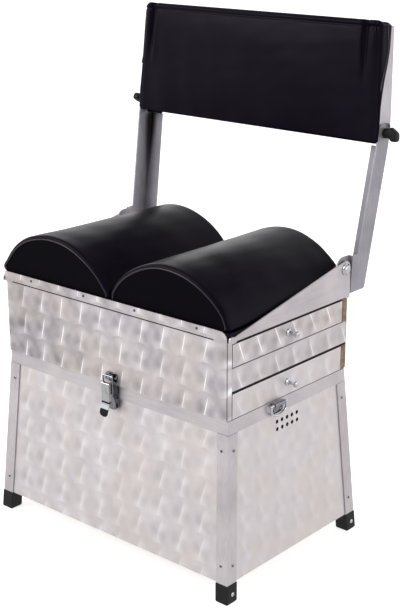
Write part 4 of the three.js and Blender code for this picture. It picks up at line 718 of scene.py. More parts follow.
def plated(name, colours, rough=0.1, painted_dark_bands=()):
    """Plated steel: bright, with faint polishing marks and small dull spots of 4.5 mm."""
    material, node, coords = new_material(name)
    base, dark = (lin(text) for text in colours)
    marks = node("TexNoise", coords, Scale=per(1.4286), Detail=3)
    dull = node(EASE, node("TexNoise", coords, Scale=per(4.5455), Detail=4), 0.5, 0.75)
    color = node(BLEND, node(TIMES, dull, 0.5), base, dark)
    # The given bands take a painted dark reflection, as on the latch lever
    if painted_dark_bands:
        painted_dark_mask = in_bands(node, node("SeparateXYZ", coords, out=slice(3)), painted_dark_bands)
        color = node(BLEND, painted_dark_mask, color, lin("#262528"))
    rough = node(PLUS, node(TIMES, dull, 0.12), rough)
    normal = node("Bump", Height=marks, Strength=0.3, Distance=0.015 * MM)
    return surface(material, Base_Color=color, Metallic=1.0, Roughness=rough, Normal=normal)


MATERIALS = {}


def make_materials(look):
    """All finishes, made once from the panel's colours."""
    sheet = (look.sheet_dark, look.sheet_light, look.sheet_warm, look.sheet_highlight)
    pale = (look.sheet_dark, look.base_light, look.sheet_warm, look.sheet_highlight)
    for key, across, lean, colours, force, gap_shades, end_shade in (
        ("front", X, 12, sheet, 1.0, CORNER_GAP_SHADE, 0.2),
        ("base_front", X, 14, pale, 0.42, (), 0.0),
        ("base_side", Y, -28, pale, 0.14, (), 0.0),
        ("side", Y, -26, sheet, 0.7, (), 0.0),
        ("middle", Y, -26, sheet, 0.6, MIDDLE_GAP_SHADE, 0.0),
        ("upper", Y, -26, sheet, 1.0, UPPER_DRAWER_GAP_SHADES, 0.0),
        ("lower", Y, -26, pale, 0.28, LOWER_DRAWER_GAP_SHADES, 0.0),
    ):
        name = f"jewelled_{key}"
        MATERIALS[name] = jewelled(name, across, lean, colours, force, gap_shades, end_shade)
    plain = (look.plain_light, look.plain_dark)
    upper = (look.post_light, look.post_dark)
    # The lower posts take a darker copy of the post satin: painted shade against the side lamp on their faces
    lower = (look.lower_post_light, look.lower_post_dark)
    along_z = (1, 1, 0.02)
    ply = (look.ply_dark, look.ply_light, look.ply_edge)
    bright = (look.plated_light, look.plated_dark)
    latch = (look.latch_light, look.latch_dark)
    MATERIALS.update({
        "satin_x": satin("satin_x", plain, (0.02, 1, 1)),
        "satin_y": satin("satin_y", plain, (1, 0.02, 1)),
        "satin_z": satin("satin_z", plain, along_z),
        "satin_upper": satin("satin_upper", upper, along_z),
        "satin_post": satin("satin_post", lower, along_z, 0.5, with_fold_shade=True),
        "vinyl": vinyl("black_vinyl", (look.vinyl_dark, look.vinyl_light)),
        "vinyl_end": vinyl("black_vinyl_end", (look.vinyl_end, look.vinyl_end), 0.5, 0.02),
        # The welts and the backrest's seams are the cover's vinyl made lighter: a painted highlight along
        # them, with a real stronger shine
        "welt": vinyl("black_vinyl_welt", (look.welt_dark, look.welt_light), 0.2, 0.5),
        "ply": plywood("plywood", ply),
        "ply_base": plywood("plywood_vented", ply, VENT_INSIDE_SHADE),
        "plastic": moulded("black_plastic", (look.plastic_dark, look.plastic_light)),
        "chrome": plated("bright_metal", bright),
        "latch_metal": plated("latch_metal", latch, painted_dark_bands=LATCH_DARK_REFLECTIONS),
        "worn_metal": plated("worn_metal", (look.worn_light, look.worn_dark)),
        "dark_metal": plated("dark_metal", (look.rivet_light, look.rivet_dark), 0.22),
    })


def dress(name, key, bevel=0.0, segments=2):
    """Gives a frame node its finish and, where its edges show, a small rounding."""
    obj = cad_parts[name]
    obj.data.materials.clear()
    obj.data.materials.append(MATERIALS[key])
    if bevel:
        weld = obj.modifiers.new("weld", "WELD")
        weld.merge_threshold = 0.00001
        edge = obj.modifiers.new("edge", "BEVEL")
        edge.width = bevel * MM
        edge.segments = segments
        edge.limit_method = "ANGLE"
        edge.angle_limit = math.radians(40)
        edge.harden_normals = True


def settle(obj, body, slot, *nodes):
    """Rides a new piece on its body and hides the nodes it stands for. slot is not used."""
    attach(obj, body)
    if nodes:
        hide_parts(*nodes)


# Lines of the frame's pieces that the new ones follow

def front_line(z):
    """Y of the upper post's front line, which leans back evenly."""
    return UPPER_FRONT_Y + UPPER_LEAN * (np.asarray(z, float) - UPPER_FRONT_Z)


def web_x(z):
    """Outer face of the upper post's web: upright to its bend, then drawing in evenly."""
    return UPPER_X - UPPER_TAPER * np.maximum(0, np.asarray(z, float) - UPPER_BEND_Z)


def wrap_depth(z):
    """How far behind the posts' front line the cover's end reaches at a height."""
    return float(np.interp(z, *zip(*WRAP_DEPTHS)))


def flare(z):
    """Half width and half depth of the flared base at a height."""
    t = (FLARE_TOP_Z - z) / (FLARE_TOP_Z - FLARE_FOOT_Z)
    return [top + spread * t for top, spread in zip(FLARE_TOP_HALF, FLARE_SPREAD)]


# Bolsters

def arch_loop(shares):
    """Closed section in mm: the smooth arch through the shares, then the flat underside back to its start."""
    arch = smooth_path(np.array(shares) * [BOLSTER_W, BOLSTER_H] + [0, BOLSTER_FLOOR], ARCH_POINTS)
    across = np.linspace(arch[-1, 0], arch[0, 0], UNDERSIDE_POINTS + 2)[1:-1]
    return np.vstack([arch, np.stack([across, np.full(UNDERSIDE_POINTS, BOLSTER_FLOOR)], 1)])


def drawn_in(loop, inset):
    """The section with its arch moved inwards along its normals; the flat underside only shortens."""
    last = ARCH_POINTS - 1
    ways = np.roll(loop, -1, 0) - np.roll(loop, 1, 0)
    ways[0] = loop[1] - loop[0]
    ways[last] = loop[last] - loop[last - 1]
    ways /= np.linalg.norm(ways, axis=1)[:, None]
    out = loop - np.stack([-ways[:, 1], ways[:, 0]], 1) * inset
    inside_end = 0.5
    low = out[0, 0] + inside_end
    high = out[last, 0] - inside_end
    out[ARCH_POINTS:, 0] = np.clip(loop[ARCH_POINTS:, 0], low, high)
    out[ARCH_POINTS:, 1] = BOLSTER_FLOOR
    out[:, 1] = np.maximum(out[:, 1], BOLSTER_FLOOR)
    return out


def bolster_section(arches, y, inset):
    """The section at a given Y: a straight mix of the front and the back arch, drawn in by inset."""
    front, back = arches
    return drawn_in(front + (back - front) * ((y / BOLSTER_HALF_Y + 1) / 2), inset)


def bolster_arches(side):
    """The front and back sections of one bolster."""
    return arch_loop(FRONT_ARCH_SHARES[side]), arch_loop(BACK_ARCH_SHARES)


def standing(section, y):
    """A section's pairs as points in the plane at a given Y."""
    return np.stack([section[:, 0], np.full(len(section), y), section[:, 1]], 1)


def corner_bulge(points, side):
    """The left bolster's outer front corner swells past the trim: a Gaussian in Y and Z, outwards in X."""
    if side == "left":
        swell = bell(points[:, Y] - BULGE_AT[0], BULGE_SPREAD[0])
        swell *= bell(points[:, Z] - BULGE_AT[1], BULGE_SPREAD[1])
        points[:, X] += BULGE_OUT * swell * rising(points[:, X], *BULGE_X)
    return points


def end_rings(ring, sign):
    """Rings from the middle of a flat end out to its rim, set in from the full length and a little dished."""
    centre = np.array([ring[:, X].mean(), 0, BOLSTER_FLOOR])
    out = []
    for share in END_RING_SHARES:
        p = centre + (ring - centre) * [share, 1, share]
        p[:, Y] = sign * (BOLSTER_HALF_Y - END_SET_IN - END_DISH * (1 - share))
        p[:, Z] = np.maximum(p[:, Z], BOLSTER_FLOOR)
        out.append(p)
    return out


def bolster_shape(side):
    """Sections along Y, drawn in by e (1 - cos a) at e (1 - sin a) from an end, with flat ends and folds."""
    arches = bolster_arches(side)
    half = BOLSTER_HALF_Y
    e = BOLSTER_RIM
    rim = [(-half + e * (1 - math.sin(t)), e * (1 - math.cos(t))) for t in np.linspace(0, np.pi / 2, 8)]
    stations = rim[::-1]
    stations += [(y, 0.0) for y in np.linspace(-half + e, half - e, BOLSTER_ROWS)[1:-1]]
    stations += [(-y, d) for y, d in rim]
    rings = []
    for y, d in stations:
        p = bolster_section(arches, y, d)
        p[:, 1] -= BOLSTER_SAG * (1 - (y / half) ** 2) * rising(p[:, 1], *SAG_HEIGHTS)
        rings.append(standing(p, y))
    points, faces = lofted(end_rings(rings[0], -1) + rings + end_rings(rings[-1], 1)[::-1])
    from_end = half - np.abs(points[:, Y])
    lift = rising(points[:, Z], *FOLD_HEIGHTS) * rising(from_end, *FOLD_FROM_ENDS)
    wide_folds = soft_noise(points, size=70, seed=11) * 0.35
    fine_folds = soft_noise(points * [1, 0.35, 1], size=26, seed=12) * 0.12
    points[:, Z] += (wide_folds + fine_folds) * lift
    return corner_bulge(points, side), faces


def welt_path(side, y):
    """The arch drawn in by the welt's inset, at a given Y."""
    section = bolster_section(bolster_arches(side), y, WELT_INSET)[:ARCH_POINTS]
    return corner_bulge(standing(section, y), side)


# Backrest

def pad_outline(z, rounding, valley):
    """Right half of the cushion's plan at height z, as (x, depth behind the posts' front line).

    It runs from the middle of the front, round the end and into the slot for the post, to the middle of the
    back. The front bulges by c (1 - (x / edge)^3.2). A Gaussian valley is drawn in that far from the end, a
    Gaussian puff stands at each side of it, and rounding is how far the rim's section has turned in.
    """
    high = (z - PAD_BOTTOM) / (PAD_TOP - PAD_BOTTOM)
    post_x = float(web_x(z))
    edge = post_x + COVER_PAST_POST
    upper = rising(high, *VALLEY_STARTS_SHARES)
    quarter = 0.94 * math.pi / 2
    x = np.sin(np.linspace(0, 1, 64) * quarter) / math.sin(quarter) * (edge - COVER_CORNER)
    past_valley = edge - x - valley
    crown = CROWN * (1 - (x / edge) ** 3.2) * (1 - abs(2 * high - 1) ** 3)
    drawn = VALLEY_DEEP * bell(past_valley, VALLEY_WIDE) * upper
    outer_puff = OUTER_PUFF * bell(edge - x - valley * 0.5, valley * 0.27) * (0.25 + 0.75 * upper)
    inner_puff = INNER_PUFF * bell(past_valley - INNER_PUFF_FROM_VALLEY, INNER_PUFF_WIDE) * upper
    top_bead = (TOP_BEAD * bell(PAD_TOP - TOP_BEAD_DOWN - z, TOP_BEAD_WIDE)
                - TOP_GROOVE * bell(PAD_TOP - TOP_GROOVE_DOWN - z, TOP_GROOVE_WIDE))
    depth = -crown + drawn - outer_puff - inner_puff - top_bead + rounding * 1.5
    turn_in = min(rounding, END_TURNS_IN)

    # The rounded corner and the flat end of the cover
    wrap = wrap_depth(z)
    corner_x = x[-1]
    corner_depth = depth[-1]
    side_depth = max(corner_depth + 2.0, min(corner_depth + 4.5, wrap - 0.6))
    a = np.linspace(0, np.pi / 2, 9)[1:]
    corner = np.stack([corner_x + (edge - corner_x) * np.sin(a),
                       corner_depth + (side_depth - corner_depth) * (1 - np.cos(a))], 1)
    corner[:, 0] -= turn_in * np.linspace(0, 1, 8)
    last = max(wrap, side_depth + 0.2)
    end = np.stack([np.full(6, edge - turn_in), np.linspace(side_depth, last, 7)[1:]], 1)

    # The slot that the post stands in; it closes over the post's top
    slot_x = post_x + SLOT_CLEAR
    inner = post_x - WEB_T - SLOT_CLEAR_INSIDE
    closing = rising(z, *SLOT_CLOSES)
    slot_front = min(1.0 + (max(last - 0.5, 1.2) - 1.0) * closing, max(last - 0.1, 0.4))
    lip = [[slot_x + (edge - slot_x) * 0.6, last + 0.7], [slot_x + 0.2, last + 0.3]]
    wall = np.stack([np.full(5, slot_x), np.linspace(last, slot_front, 5)], 1)
    across = [[(slot_x + inner) / 2, slot_front]]
    inside = np.stack([np.full(6, inner), np.linspace(slot_front, PAD_BACK, 6)], 1)
    behind = np.stack([np.linspace(inner, 0, 15)[1:], np.full(14, PAD_BACK)], 1)
    return np.vstack([np.stack([x, depth], 1), corner, end, lip, wall, across, inside, behind])


def pad_heights():
    """Heights of the cushion's outlines with their rounding: r (1 - sin a) at r (1 - cos a) from an edge."""
    r = PAD_RIM
    rim = [(r * (1 - math.cos(a)), r * (1 - math.sin(a))) for a in np.linspace(0, math.pi / 2, 6)[:-1]]
    heights = [(PAD_BOTTOM + s, d) for s, d in rim]
    heights += [(z, 0.0) for z in np.linspace(PAD_BOTTOM + r, PAD_TOP - 18, 44)]
    heights += [(z, 0.0) for z in np.linspace(PAD_TOP - 17, PAD_TOP - r - 0.3, 16)]
    heights += [(PAD_TOP - s, d) for s, d in rim[::-1]]
    return heights


def pad_shape():
    """Plan outlines stacked in z, then soft folds, gathers at the top corners and sway of the two edges."""
    rings = []
    for z, rounding in pad_heights():
        right = pad_outline(z, rounding, VALLEY_IN["right"])
        left = pad_outline(z, rounding, VALLEY_IN["left"])[1:-1][::-1] * [-1, 1]
        loop = np.vstack([right, left])
        rings.append(np.stack([loop[:, 0], loop[:, 1] + front_line(z), np.full(len(loop), z)], 1))
    points, faces = lofted(rings)
    x = points[:, X].copy()
    z = points[:, Z].copy()
    out = np.abs(x)
    depth = points[:, Y] - front_line(z)
    on_front = rising(depth, 4, -2) * rising(z, PAD_TOP - 3, PAD_TOP - 15)
    wide_folds = soft_noise(points * [1, 1, 0.4], size=60, seed=5) * 0.5
    fine_folds = soft_noise(points, size=24, seed=6) * 0.12
    points[:, Y] -= (wide_folds + fine_folds) * on_front
    gather = bell(out - GATHER_AT[0], GATHER_SPREAD[0]) * bell(z - GATHER_AT[1], GATHER_SPREAD[1])
    points[:, Y] += gather * (1.4 + 1.7 * np.sin(x * 1.2 + z * 0.35)) * (depth < 2)
    near_top = rising(z, PAD_TOP - 16, PAD_TOP) ** 2
    near_foot = rising(z, PAD_BOTTOM + 12, PAD_BOTTOM)
    past_post = rising(out, web_x(z) - 7, web_x(z) + 3) ** 2
    points[:, Z] += near_top * (4.2 - 0.19 * (depth + 6) - 5.5 * past_post)
    points[:, Z] += near_foot * 3 * past_post * (depth < 4)
    return points, faces


def hem_shape(start, deep):
    """Turned-up edge of the cover below an end of the backrest: a soft strip along X, rounded below."""
    a = circle(28)
    rings = []
    for x in np.linspace(start, HEM_END_X, 22):
        slope = rising(x, start, start + HEM_SLOPE_LENGTH)
        drop = deep * math.sin(slope * math.pi / 2) + 0.5 * math.sin(x * 0.9)
        y = HEM_BACK + HEM_HALF_THICK * np.sign(np.cos(a)) * np.abs(np.cos(a)) ** 0.7
        z = np.where(np.sin(a) > 0, HEM_TOP_Z, PAD_BOTTOM + 1.6 - drop) + 1.4 * np.sin(a)
        rings.append(np.stack([np.full(len(a), x), front_line(z) + y, z], 1))
    return lofted(rings)


def side_seam():
    """Seam on the outer face of the backrest's end, a little ahead of the cover's rear edge."""
    path = [[float(web_x(z)) + SEAM_PROUD, float(front_line(z)) + wrap_depth(z) - ahead, z]
            for z, ahead in SEAM_PLACES]
    return tube(smooth_path(path, SEAM_POINTS), SEAM_RADIUS, SEAM_SIDES)


# Small hardware

def knob_shape(turn):
    """Superellipses along X, |y / w|^p + |z / h|^p = 1: a round hub runs into a lobe hanging to one side."""
    a = circle(64)
    c = np.cos(a)
    s = np.sin(a)
    cos_turn = math.cos(math.radians(turn))
    sin_turn = math.sin(math.radians(turn))
    rings = []
    for out, low, high, wide, power in KNOB_SECTIONS:
        k = (np.abs(c) ** power + np.abs(s) ** power) ** (-1 / power)
        y = wide * k * c
        z = (low + high) / 2 + (high - low) / 2 * k * s
        rings.append(np.stack([np.full(len(a), KNOB_X + out), KNOB_Y + y * cos_turn - z * sin_turn,
                               KNOB_Z + y * sin_turn + z * cos_turn], 1))
    return lofted(rings)


def screw_shape(at, way, radius, height):
    """Pan head on a polar grid: h (1 - (r / R)^4)^0.5 with a cross recess pressed in."""
    way, u, v = axes_for(way)
    a = circle(64)
    at = np.asarray(at)
    arm = radius * 0.62
    beyond = 9
    rings = [at + radius * (np.cos(a)[:, None] * u + np.sin(a)[:, None] * v) - way * 0.6]
    for r in np.concatenate([[1.0, 0.99, 0.96], np.linspace(0.92, 0.04, 20)]):
        x = r * radius * np.cos(a)
        y = r * radius * np.sin(a)
        near = np.minimum(np.where(np.abs(x) < arm, np.abs(y), beyond),
                          np.where(np.abs(y) < arm, np.abs(x), beyond))
        recess = height * 0.6 * rising(near, radius * 0.16, radius * 0.1)
        h = height * max(0.0, 1 - r ** 4) ** 0.5 - recess
        rings.append(at + x[:, None] * u + y[:, None] * v + h[:, None] * way)
    return lofted(rings)


def dome_shape(at, way, radius, height):
    """Round head on a short collar: radius R cos t, height h (0.12 + 0.88 sin t)."""
    collar = 0.12
    profile = [(radius, -0.5), (radius, height * collar)]
    for t in np.linspace(0.2, 1.55, 9):
        profile.append((radius * math.cos(t), height * (collar + (1 - collar) * math.sin(t))))
    return turned(profile, at, way, 32)


def ring_path(x):
    """Middle line of the strap ring's wire in the plane at x: a level bar, closed below by half an oval."""
    w = RING_HALF
    top = RING_BAR_Z
    low = top - RING_DROP * (1 - RING_ARC_SHARE)
    path = [[x, RING_Y - w, top - RING_CORNER]]
    for t in np.linspace(np.pi, 2 * np.pi, 15):
        path.append([x, RING_Y + w * math.cos(t), low + RING_DROP * RING_ARC_SHARE * math.sin(t)])
    path += [[x, RING_Y + w, top - RING_CORNER], [x, RING_Y + w - RING_CORNER, top],
             [x, RING_Y - w + RING_CORNER, top]]
    return smooth_path(path, 96, closed=True)


# Settings shown in the sidebar

def size_property(label, meaning, default, low, high):
    """A length field."""
    return bpy.props.FloatProperty(name=label, description=meaning, default=default, min=low, max=high,
                                   unit="LENGTH")


def colour_property(label, text):
    """A colour field holding an sRGB hex value."""
    return bpy.props.StringProperty(name=label, description=label + " as an sRGB hex value", default=text)


class SeatBoxSizes(bpy.types.PropertyGroup):
    """Sizes of the small hardware and the soft parts"""
    rivet_radius: size_property("Rivet radius", "Radius of the corner rivets", 0.0027, 0.001, 0.008)
    welt_radius: size_property("Welt radius", "Radius of the welt at the bolster ends", 0.0014, 0.0005, 0.004)
    ring_wire: size_property("Ring wire", "Radius of the strap ring's wire", 0.00215, 0.001, 0.004)


class SeatBoxColours(bpy.types.PropertyGroup):
    """Colours of the finishes"""
    sheet_dark: colour_property("Jewelled sheet, dark", "#858085")
    sheet_light: colour_property("Jewelled sheet, light", "#e6dfe2")
    base_light: colour_property("Base sheet, light", "#f6f0f2")
    sheet_warm: colour_property("Jewelled sheet, warm", "#d6cabf")
    # Colour of the painted highlight streaks on the jewelled sheets
    sheet_highlight: colour_property("Jewelled sheet, streak", "#ffffff")
    plain_light: colour_property("Plain sheet, light", "#cfc8cb")
    plain_dark: colour_property("Plain sheet, dark", "#b7b0b4")
    post_light: colour_property("Upper post, light", "#bfb9c0")
    post_dark: colour_property("Upper post, dark", "#a8a2a9")
    # Darker than the upper post's colours: painted shade on the lower posts
    lower_post_light: colour_property("Lower post, light", "#a5a2a9")
    lower_post_dark: colour_property("Lower post, dark", "#8d8b92")
    vinyl_dark: colour_property("Vinyl, dark", "#05030c")
    vinyl_light: colour_property("Vinyl, light", "#0a0714")
    vinyl_end: colour_property("Vinyl, end faces", "#08070b")
    # Lighter than the cover's vinyl: a painted highlight on the welts and seams
    welt_dark: colour_property("Welt, dark", "#121018")
    welt_light: colour_property("Welt, light", "#1a1822")
    ply_dark: colour_property("Plywood, dark", "#4f3a2a")
    ply_light: colour_property("Plywood, light", "#8d7052")
    ply_edge: colour_property("Plywood, layers", "#33241a")
    plastic_dark: colour_property("Plastic, dark", "#0c0a0d")
    plastic_light: colour_property("Plastic, light", "#171518")
    plated_light: colour_property("Plated steel, light", "#c9cace")
    plated_dark: colour_property("Plated steel, dull", "#85858b")
    latch_light: colour_property("Latch lever, light", "#bdbec2")
    latch_dark: colour_property("Latch lever, dull", "#6d6d73")
    worn_light: colour_property("Worn plating, light", "#8c8d92")
    worn_dark: colour_property("Worn plating, dull", "#3c3c40")
    rivet_light: colour_property("Rivets, light", "#5d5d63")
    rivet_dark: colour_property("Rivets, dull", "#39393e")


# Operators, one for each piece or group of like pieces

class SEATBOX_OT_finishes(bpy.types.Operator):
    """Makes the finishes"""
    bl_idname = "seatbox.finishes"
    bl_label = "Finishes"

    def execute(self, context):
        make_materials(context.scene.seatbox_colours)
        return {"FINISHED"}


class SEATBOX_OT_base(bpy.types.Operator):
    """Dresses the flared base: panels, rim, corner angles, feet and hinge"""
    bl_idname = "seatbox.base"
    bl_label = "Base"

    def execute(self, context):
        dress("base_box", "ply_base", 0.5)
        for name, key in (("front", "front"), ("back", "front"), ("left", "side"), ("right", "side")):
            dress(f"base_panel_{name}", f"jewelled_base_{key}")
        dress("rim_band", "satin_x", 0.5)
        for end in ("front", "back"):
            for side, _ in SIDES:
                dress(f"corner_angle_{end}_{side}", "satin_z", 0.5)
                dress(f"foot_{end}_{side}", "plastic", 1.2, 3)
        for name in ("hinge_leaf_lower", "hinge_leaf_upper"):
            dress(name, "satin_x", 0.3)
        dress("hinge_pin", "chrome")
        return {"FINISHED"}


class SEATBOX_OT_fasteners(bpy.types.Operator):
    """Adds rivets, screws and nails"""
    bl_idname = "seatbox.fasteners"
    bl_label = "Fasteners"

    def execute(self, context):
        radius = context.scene.seatbox_sizes.rivet_radius / MM
        rivets = []
        for z in RIVET_HEIGHTS:
            x, y = flare(z)
            for sx in (1, -1):
                for sy in (1, -1):
                    front = (sx * (x - RIVET_FROM_EDGE), sy * y, z)
                    side = (sx * x, sy * (y - RIVET_FROM_EDGE), z)
                    rivets.append(dome_shape(front, (0, sy, 0), radius, RIVET_HIGH))
                    rivets.append(dome_shape(side, (sx, 0, 0), radius, RIVET_HIGH))
        rivets = mesh_object("corner_rivets", *merged(rivets), MATERIALS["dark_metal"])
        settle(rivets, BASE_BODY, "bright_metal")
        nails = [dome_shape((x, NAIL_FACE_Y, NAIL_Z), (0, -1, 0), NAIL_RADIUS, NAIL_HIGH)
                 for x in NAIL_PLACES]
        nails = mesh_object("trim_nails", *merged(nails), MATERIALS["dark_metal"])
        settle(nails, SEAT_BODY, "bright_metal")
        x, y = flare(FOOT_SCREW_Z)
        for end, sy in (("front", -1), ("back", 1)):
            for side, sx in SIDES:
                at = (sx * (x + FOOT_SCREW_OUT), sy * (y - FOOT_SCREW_FROM_EDGE), FOOT_SCREW_Z)
                head = screw_shape(at, (sx, 0, 0), FOOT_SCREW_RADIUS, FOOT_SCREW_HIGH)
                screw = mesh_object(f"foot_screw_head_{end}_{side}", *head, MATERIALS["chrome"])
                settle(screw, BASE_BODY, "bright_metal", f"foot_screw_{end}_{side}")
        return {"FINISHED"}


class SEATBOX_OT_case(bpy.types.Operator):
    """Dresses the drawer case, seat board, trim and side plates, and turns the pivot bolts"""
    bl_idname = "seatbox.case"
    bl_label = "Drawer case"

    def execute(self, context):
        dress("case_body", "ply", 0.4)
        for name in ("case_sheet_front", "case_sheet_back"):
            dress(name, "jewelled_front")
        dress("case_sheet_left", "jewelled_side")
        dress("case_middle_panel", "jewelled_middle", 0.4)
        dress("seat_board", "vinyl", 0.6)
        dress("seat_trim", "jewelled_front", 0.3)
        bolt = turned(PIVOT_HEAD, (PIVOT_HEAD_X, PIVOT_Y, PIVOT_Z), (1, 0, 0))
        nut = turned(PIVOT_NUT, (PIVOT_NUT_X, PIVOT_Y, PIVOT_Z), (-1, 0, 0), NUT_SIDES)
        for side, sx in SIDES:
            dress(f"side_plate_{side}", "satin_y", 0.5)
            pieces = [mirrored(*bolt, sx), mirrored(*nut, sx)]
            head = mesh_object(f"pivot_bolt_head_{side}", *merged(pieces), MATERIALS["chrome"])
            settle(head, SEAT_BODY, "bright_metal", f"pivot_bolt_{side}")
        return {"FINISHED"}


class SEATBOX_OT_drawers(bpy.types.Operator):
    """Dresses the drawers and turns their pulls"""
    bl_idname = "seatbox.drawers"
    bl_label = "Drawers"

    def execute(self, context):
        for level, z in PULL_HEIGHTS.items():
            dress(f"drawer_{level}_front", f"jewelled_{level}", 0.4)
            dress(f"drawer_{level}_tray", "ply", 0.5)
            pull = turned(PULL, (PULL_X, PULL_Y, z), (1, 0, 0))
            pull = mesh_object(f"pull_{level}", *pull, MATERIALS["chrome"])
            settle(pull, f"drawer_{level}", "bright_metal", f"drawer_{level}_pull")
        return {"FINISHED"}


class SEATBOX_OT_latch(bpy.types.Operator):
    """Dresses the draw latch"""
    bl_idname = "seatbox.latch"
    bl_label = "Latch"

    def execute(self, context):
        dress("latch_base", "worn_metal", 0.25)
        dress("latch_lever", "latch_metal", 0.35)
        dress("latch_bail", "worn_metal")
        dress("latch_keeper", "worn_metal", 0.25)
        return {"FINISHED"}


class SEATBOX_OT_strap_rings(bpy.types.Operator):
    """Dresses the strap plates and bends their rings"""
    bl_idname = "seatbox.strap_rings"
    bl_label = "Strap rings"

    def execute(self, context):
        wire = context.scene.seatbox_sizes.ring_wire / MM
        for side, _ in SIDES:
            dress(f"strap_plate_{side}", "worn_metal", 0.3)
            low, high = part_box(f"strap_ring_{side}")
            loop = ring_path((low[0] + high[0]) / 2 / MM)
            ring = mesh_object(f"ring_{side}", *tube(loop, wire, 16, closed=True), MATERIALS["chrome"])
            settle(ring, f"strap_ring_{side}", "bright_metal", f"strap_ring_{side}")
        return {"FINISHED"}


class SEATBOX_OT_posts(bpy.types.Operator):
    """Dresses the backrest posts and shapes the clamp knobs"""
    bl_idname = "seatbox.posts"
    bl_label = "Posts and knobs"

    def execute(self, context):
        for side, sx in SIDES:
            dress(f"lower_post_{side}", "satin_post", 0.6)
            dress(f"upper_post_{side}", "satin_upper", 0.6)
            dress(f"clamp_bolt_{side}", "chrome", 0.3)
            shape = mirrored(*knob_shape(KNOB_TURNS[side]), sx)
            knob = mesh_object(f"knob_{side}", *shape, MATERIALS["plastic"])
            settle(knob, f"clamp_knob_{side}", "black_plastic", f"clamp_knob_{side}")
        dress("backrest_board", "ply", 0.6)
        return {"FINISHED"}


class SEATBOX_OT_bolsters(bpy.types.Operator):
    """Pads the two bolsters, with a welt round each end"""
    bl_idname = "seatbox.bolsters"
    bl_label = "Bolsters"

    def execute(self, context):
        radius = context.scene.seatbox_sizes.welt_radius / MM
        around = ARCH_POINTS + UNDERSIDE_POINTS
        end_rows = len(END_RING_SHARES) + 1
        for side, sx in SIDES:
            points, faces = bolster_shape(side)
            pad = mesh_object(f"bolster_pad_{side}", *mirrored(points, faces, sx), MATERIALS["vinyl"])
            row = np.arange(len(faces)) // around
            last = (len(points) // around - 1) - end_rows
            second_finish(pad, MATERIALS["vinyl_end"], (row < end_rows) | (row >= last))
            settle(pad, SEAT_BODY, "black_vinyl", f"bolster_{side}")
            welts = [tube(smooth_path(welt_path(side, y), 120), radius, 12)
                     for y in (-WELT_FROM_MIDDLE, WELT_FROM_MIDDLE)]
            trim = mesh_object(f"bolster_welt_{side}", *mirrored(*merged(welts), sx), MATERIALS["welt"])
            settle(trim, SEAT_BODY, "black_vinyl")
        return {"FINISHED"}


class SEATBOX_OT_backrest(bpy.types.Operator):
    """Pads the backrest, its ends wrapped round the posts, with a seam and a hem at each end"""
    bl_idname = "seatbox.backrest"
    bl_label = "Backrest"

    def execute(self, context):
        pad = mesh_object("backrest_cushion", *pad_shape(), MATERIALS["vinyl"])
        settle(pad, UPPER_BODY, "black_vinyl", "backrest_pad")
        seam = side_seam()
        for side, sx in SIDES:
            points, faces = merged([hem_shape(*HEMS[side]), seam])
            hem = mesh_object(f"backrest_hem_{side}", *mirrored(points, faces, sx), MATERIALS["vinyl"])
            second_finish(hem, MATERIALS["welt"], np.arange(len(faces)) >= len(faces) - len(seam[1]))
            settle(hem, UPPER_BODY, "black_vinyl")
        return {"FINISHED"}


class SEATBOX_OT_stage(bpy.types.Operator):
    """Sets the floor, the soft light and the camera"""
    bl_idname = "seatbox.stage"
    bl_label = "Stage"

    def execute(self, context):
        scene = context.scene
        scene.view_settings.view_transform = "Standard"
        scene.world = studio_world()
        floor = pale_floor()
        for name, spot, size, power in LAMPS:
            light = bpy.data.lights.new(name, "AREA")
            light.shape = "DISK"
            light.size = size
            light.energy = power
            lamp = bpy.data.objects.new(name, light)
            scene.collection.objects.link(lamp)
            lamp.location = spot
            way = Vector(LAMP_TARGET) - Vector(spot)
            lamp.rotation_euler = way.to_track_quat("-Z", "Y").to_euler()
        camera = bpy.data.cameras.new("camera")
        camera.lens = FOCAL_PIXELS / PICTURE_HEIGHT * SENSOR
        camera.sensor_width = SENSOR
        camera.clip_end = CAMERA_REACH
        view = bpy.data.objects.new("camera", camera)
        scene.collection.objects.link(view)
        view.matrix_world = camera_matrix()
        scene.camera = view
        return {"FINISHED"}


def pale_floor():
    """A plain pale floor that glows a little, so that no horizon shows; mirrors don't see it."""
    material, _, _ = new_material("pale_floor")
    surface(material, Base_Color=lin("#d6d6d6"), Roughness=0.9, Emission_Color=lin("#ffffff"),
            Emission_Strength=FLOOR_GLOW)
    h = FLOOR_HALF
    corners = [(-h, -h, 0), (h, -h, 0), (h, h, 0), (-h, h, 0)]
    floor = mesh_object("floor", corners, [(0, 1, 2, 3)], material, False)
    floor.visible_glossy = False
    return floor


def studio_world():
    """Soft studio by direction: bright at the horizon, dimmer above and below, a dark room by the camera."""
    world = bpy.data.worlds.new("studio")
    world.use_nodes = True
    node = partial(add_node, world.node_tree)
    way = node("TexCoord", out="Generated")
    height = node("SeparateXYZ", way, out="Z")
    room = node("VectorMath DOT_PRODUCT", way, ROOM_WAY)
    strength = node(EASE, height, *SKY_RISE)
    for value, (low, high, left) in ((height, OVERHEAD), (room, ROOM)):
        strength = node(TIMES, strength, node(EASE, value, low, high, 1.0, left))
    background = world.node_tree.nodes["Background"]
    fill(background.inputs["Strength"], strength)
    fill(background.inputs["Color"], lin("#ffffff"))
    return world


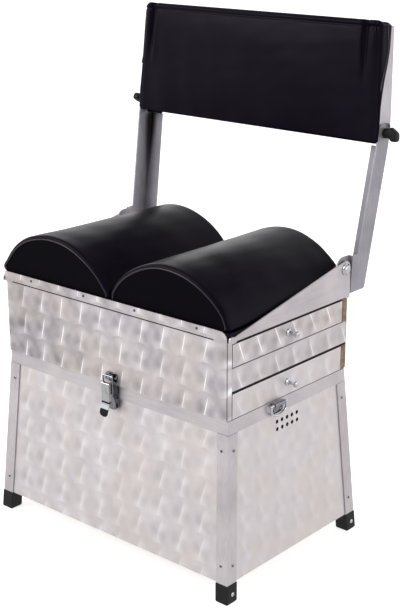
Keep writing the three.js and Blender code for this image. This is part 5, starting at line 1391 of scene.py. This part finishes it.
def camera_matrix():
    """Camera placed by azimuth, elevation and roll about a point of the seat box."""
    az = CAMERA_AZIMUTH
    el = CAMERA_ELEVATION
    roll = CAMERA_ROLL
    forward = Vector((-math.sin(az) * math.cos(el), math.cos(az) * math.cos(el), -math.sin(el)))
    level = Vector((math.cos(az), math.sin(az), 0))
    upright = level.cross(forward)
    right = level * math.cos(roll) + upright * math.sin(roll)
    up = upright * math.cos(roll) - level * math.sin(roll)
    eye = (-forward * CAMERA_FAR - right * CAMERA_SIDEWAYS - up * CAMERA_UP) * CAMERA_UNIT
    eye.y += SHIFT_Y
    matrix = Matrix((right, up, -forward)).transposed().to_4x4()
    matrix.translation = eye
    return matrix


PIECES = (
    SEATBOX_OT_finishes, SEATBOX_OT_base, SEATBOX_OT_fasteners, SEATBOX_OT_case, SEATBOX_OT_drawers,
    SEATBOX_OT_latch, SEATBOX_OT_strap_rings, SEATBOX_OT_posts, SEATBOX_OT_bolsters, SEATBOX_OT_backrest,
    SEATBOX_OT_stage,
)


class SEATBOX_PT_panel(bpy.types.Panel):
    """Lists the settings and the steps that build the seat box"""
    bl_label = "Seat Box"
    bl_idname = "SEATBOX_PT_panel"
    bl_space_type = "VIEW_3D"
    bl_region_type = "UI"
    bl_category = "Seat Box"

    def draw(self, context):
        for group in (context.scene.seatbox_sizes, context.scene.seatbox_colours):
            for key in group.__annotations__:
                self.layout.prop(group, key)
        for piece in PIECES:
            self.layout.operator(piece.bl_idname)


CLASSES = (SeatBoxSizes, SeatBoxColours, *PIECES, SEATBOX_PT_panel)


def register():
    """Adds the classes and the two groups of settings."""
    for cls in CLASSES:
        bpy.utils.register_class(cls)
    bpy.types.Scene.seatbox_sizes = bpy.props.PointerProperty(type=SeatBoxSizes)
    bpy.types.Scene.seatbox_colours = bpy.props.PointerProperty(type=SeatBoxColours)


def unregister():
    """Takes them away again."""
    del bpy.types.Scene.seatbox_sizes
    del bpy.types.Scene.seatbox_colours
    for cls in reversed(CLASSES):
        bpy.utils.unregister_class(cls)


def main():
    """Builds every piece in order."""
    register()
    for piece in PIECES:
        group, name = piece.bl_idname.split(".")
        getattr(getattr(bpy.ops, group), name)()


if __name__ == "__main__":
    main()
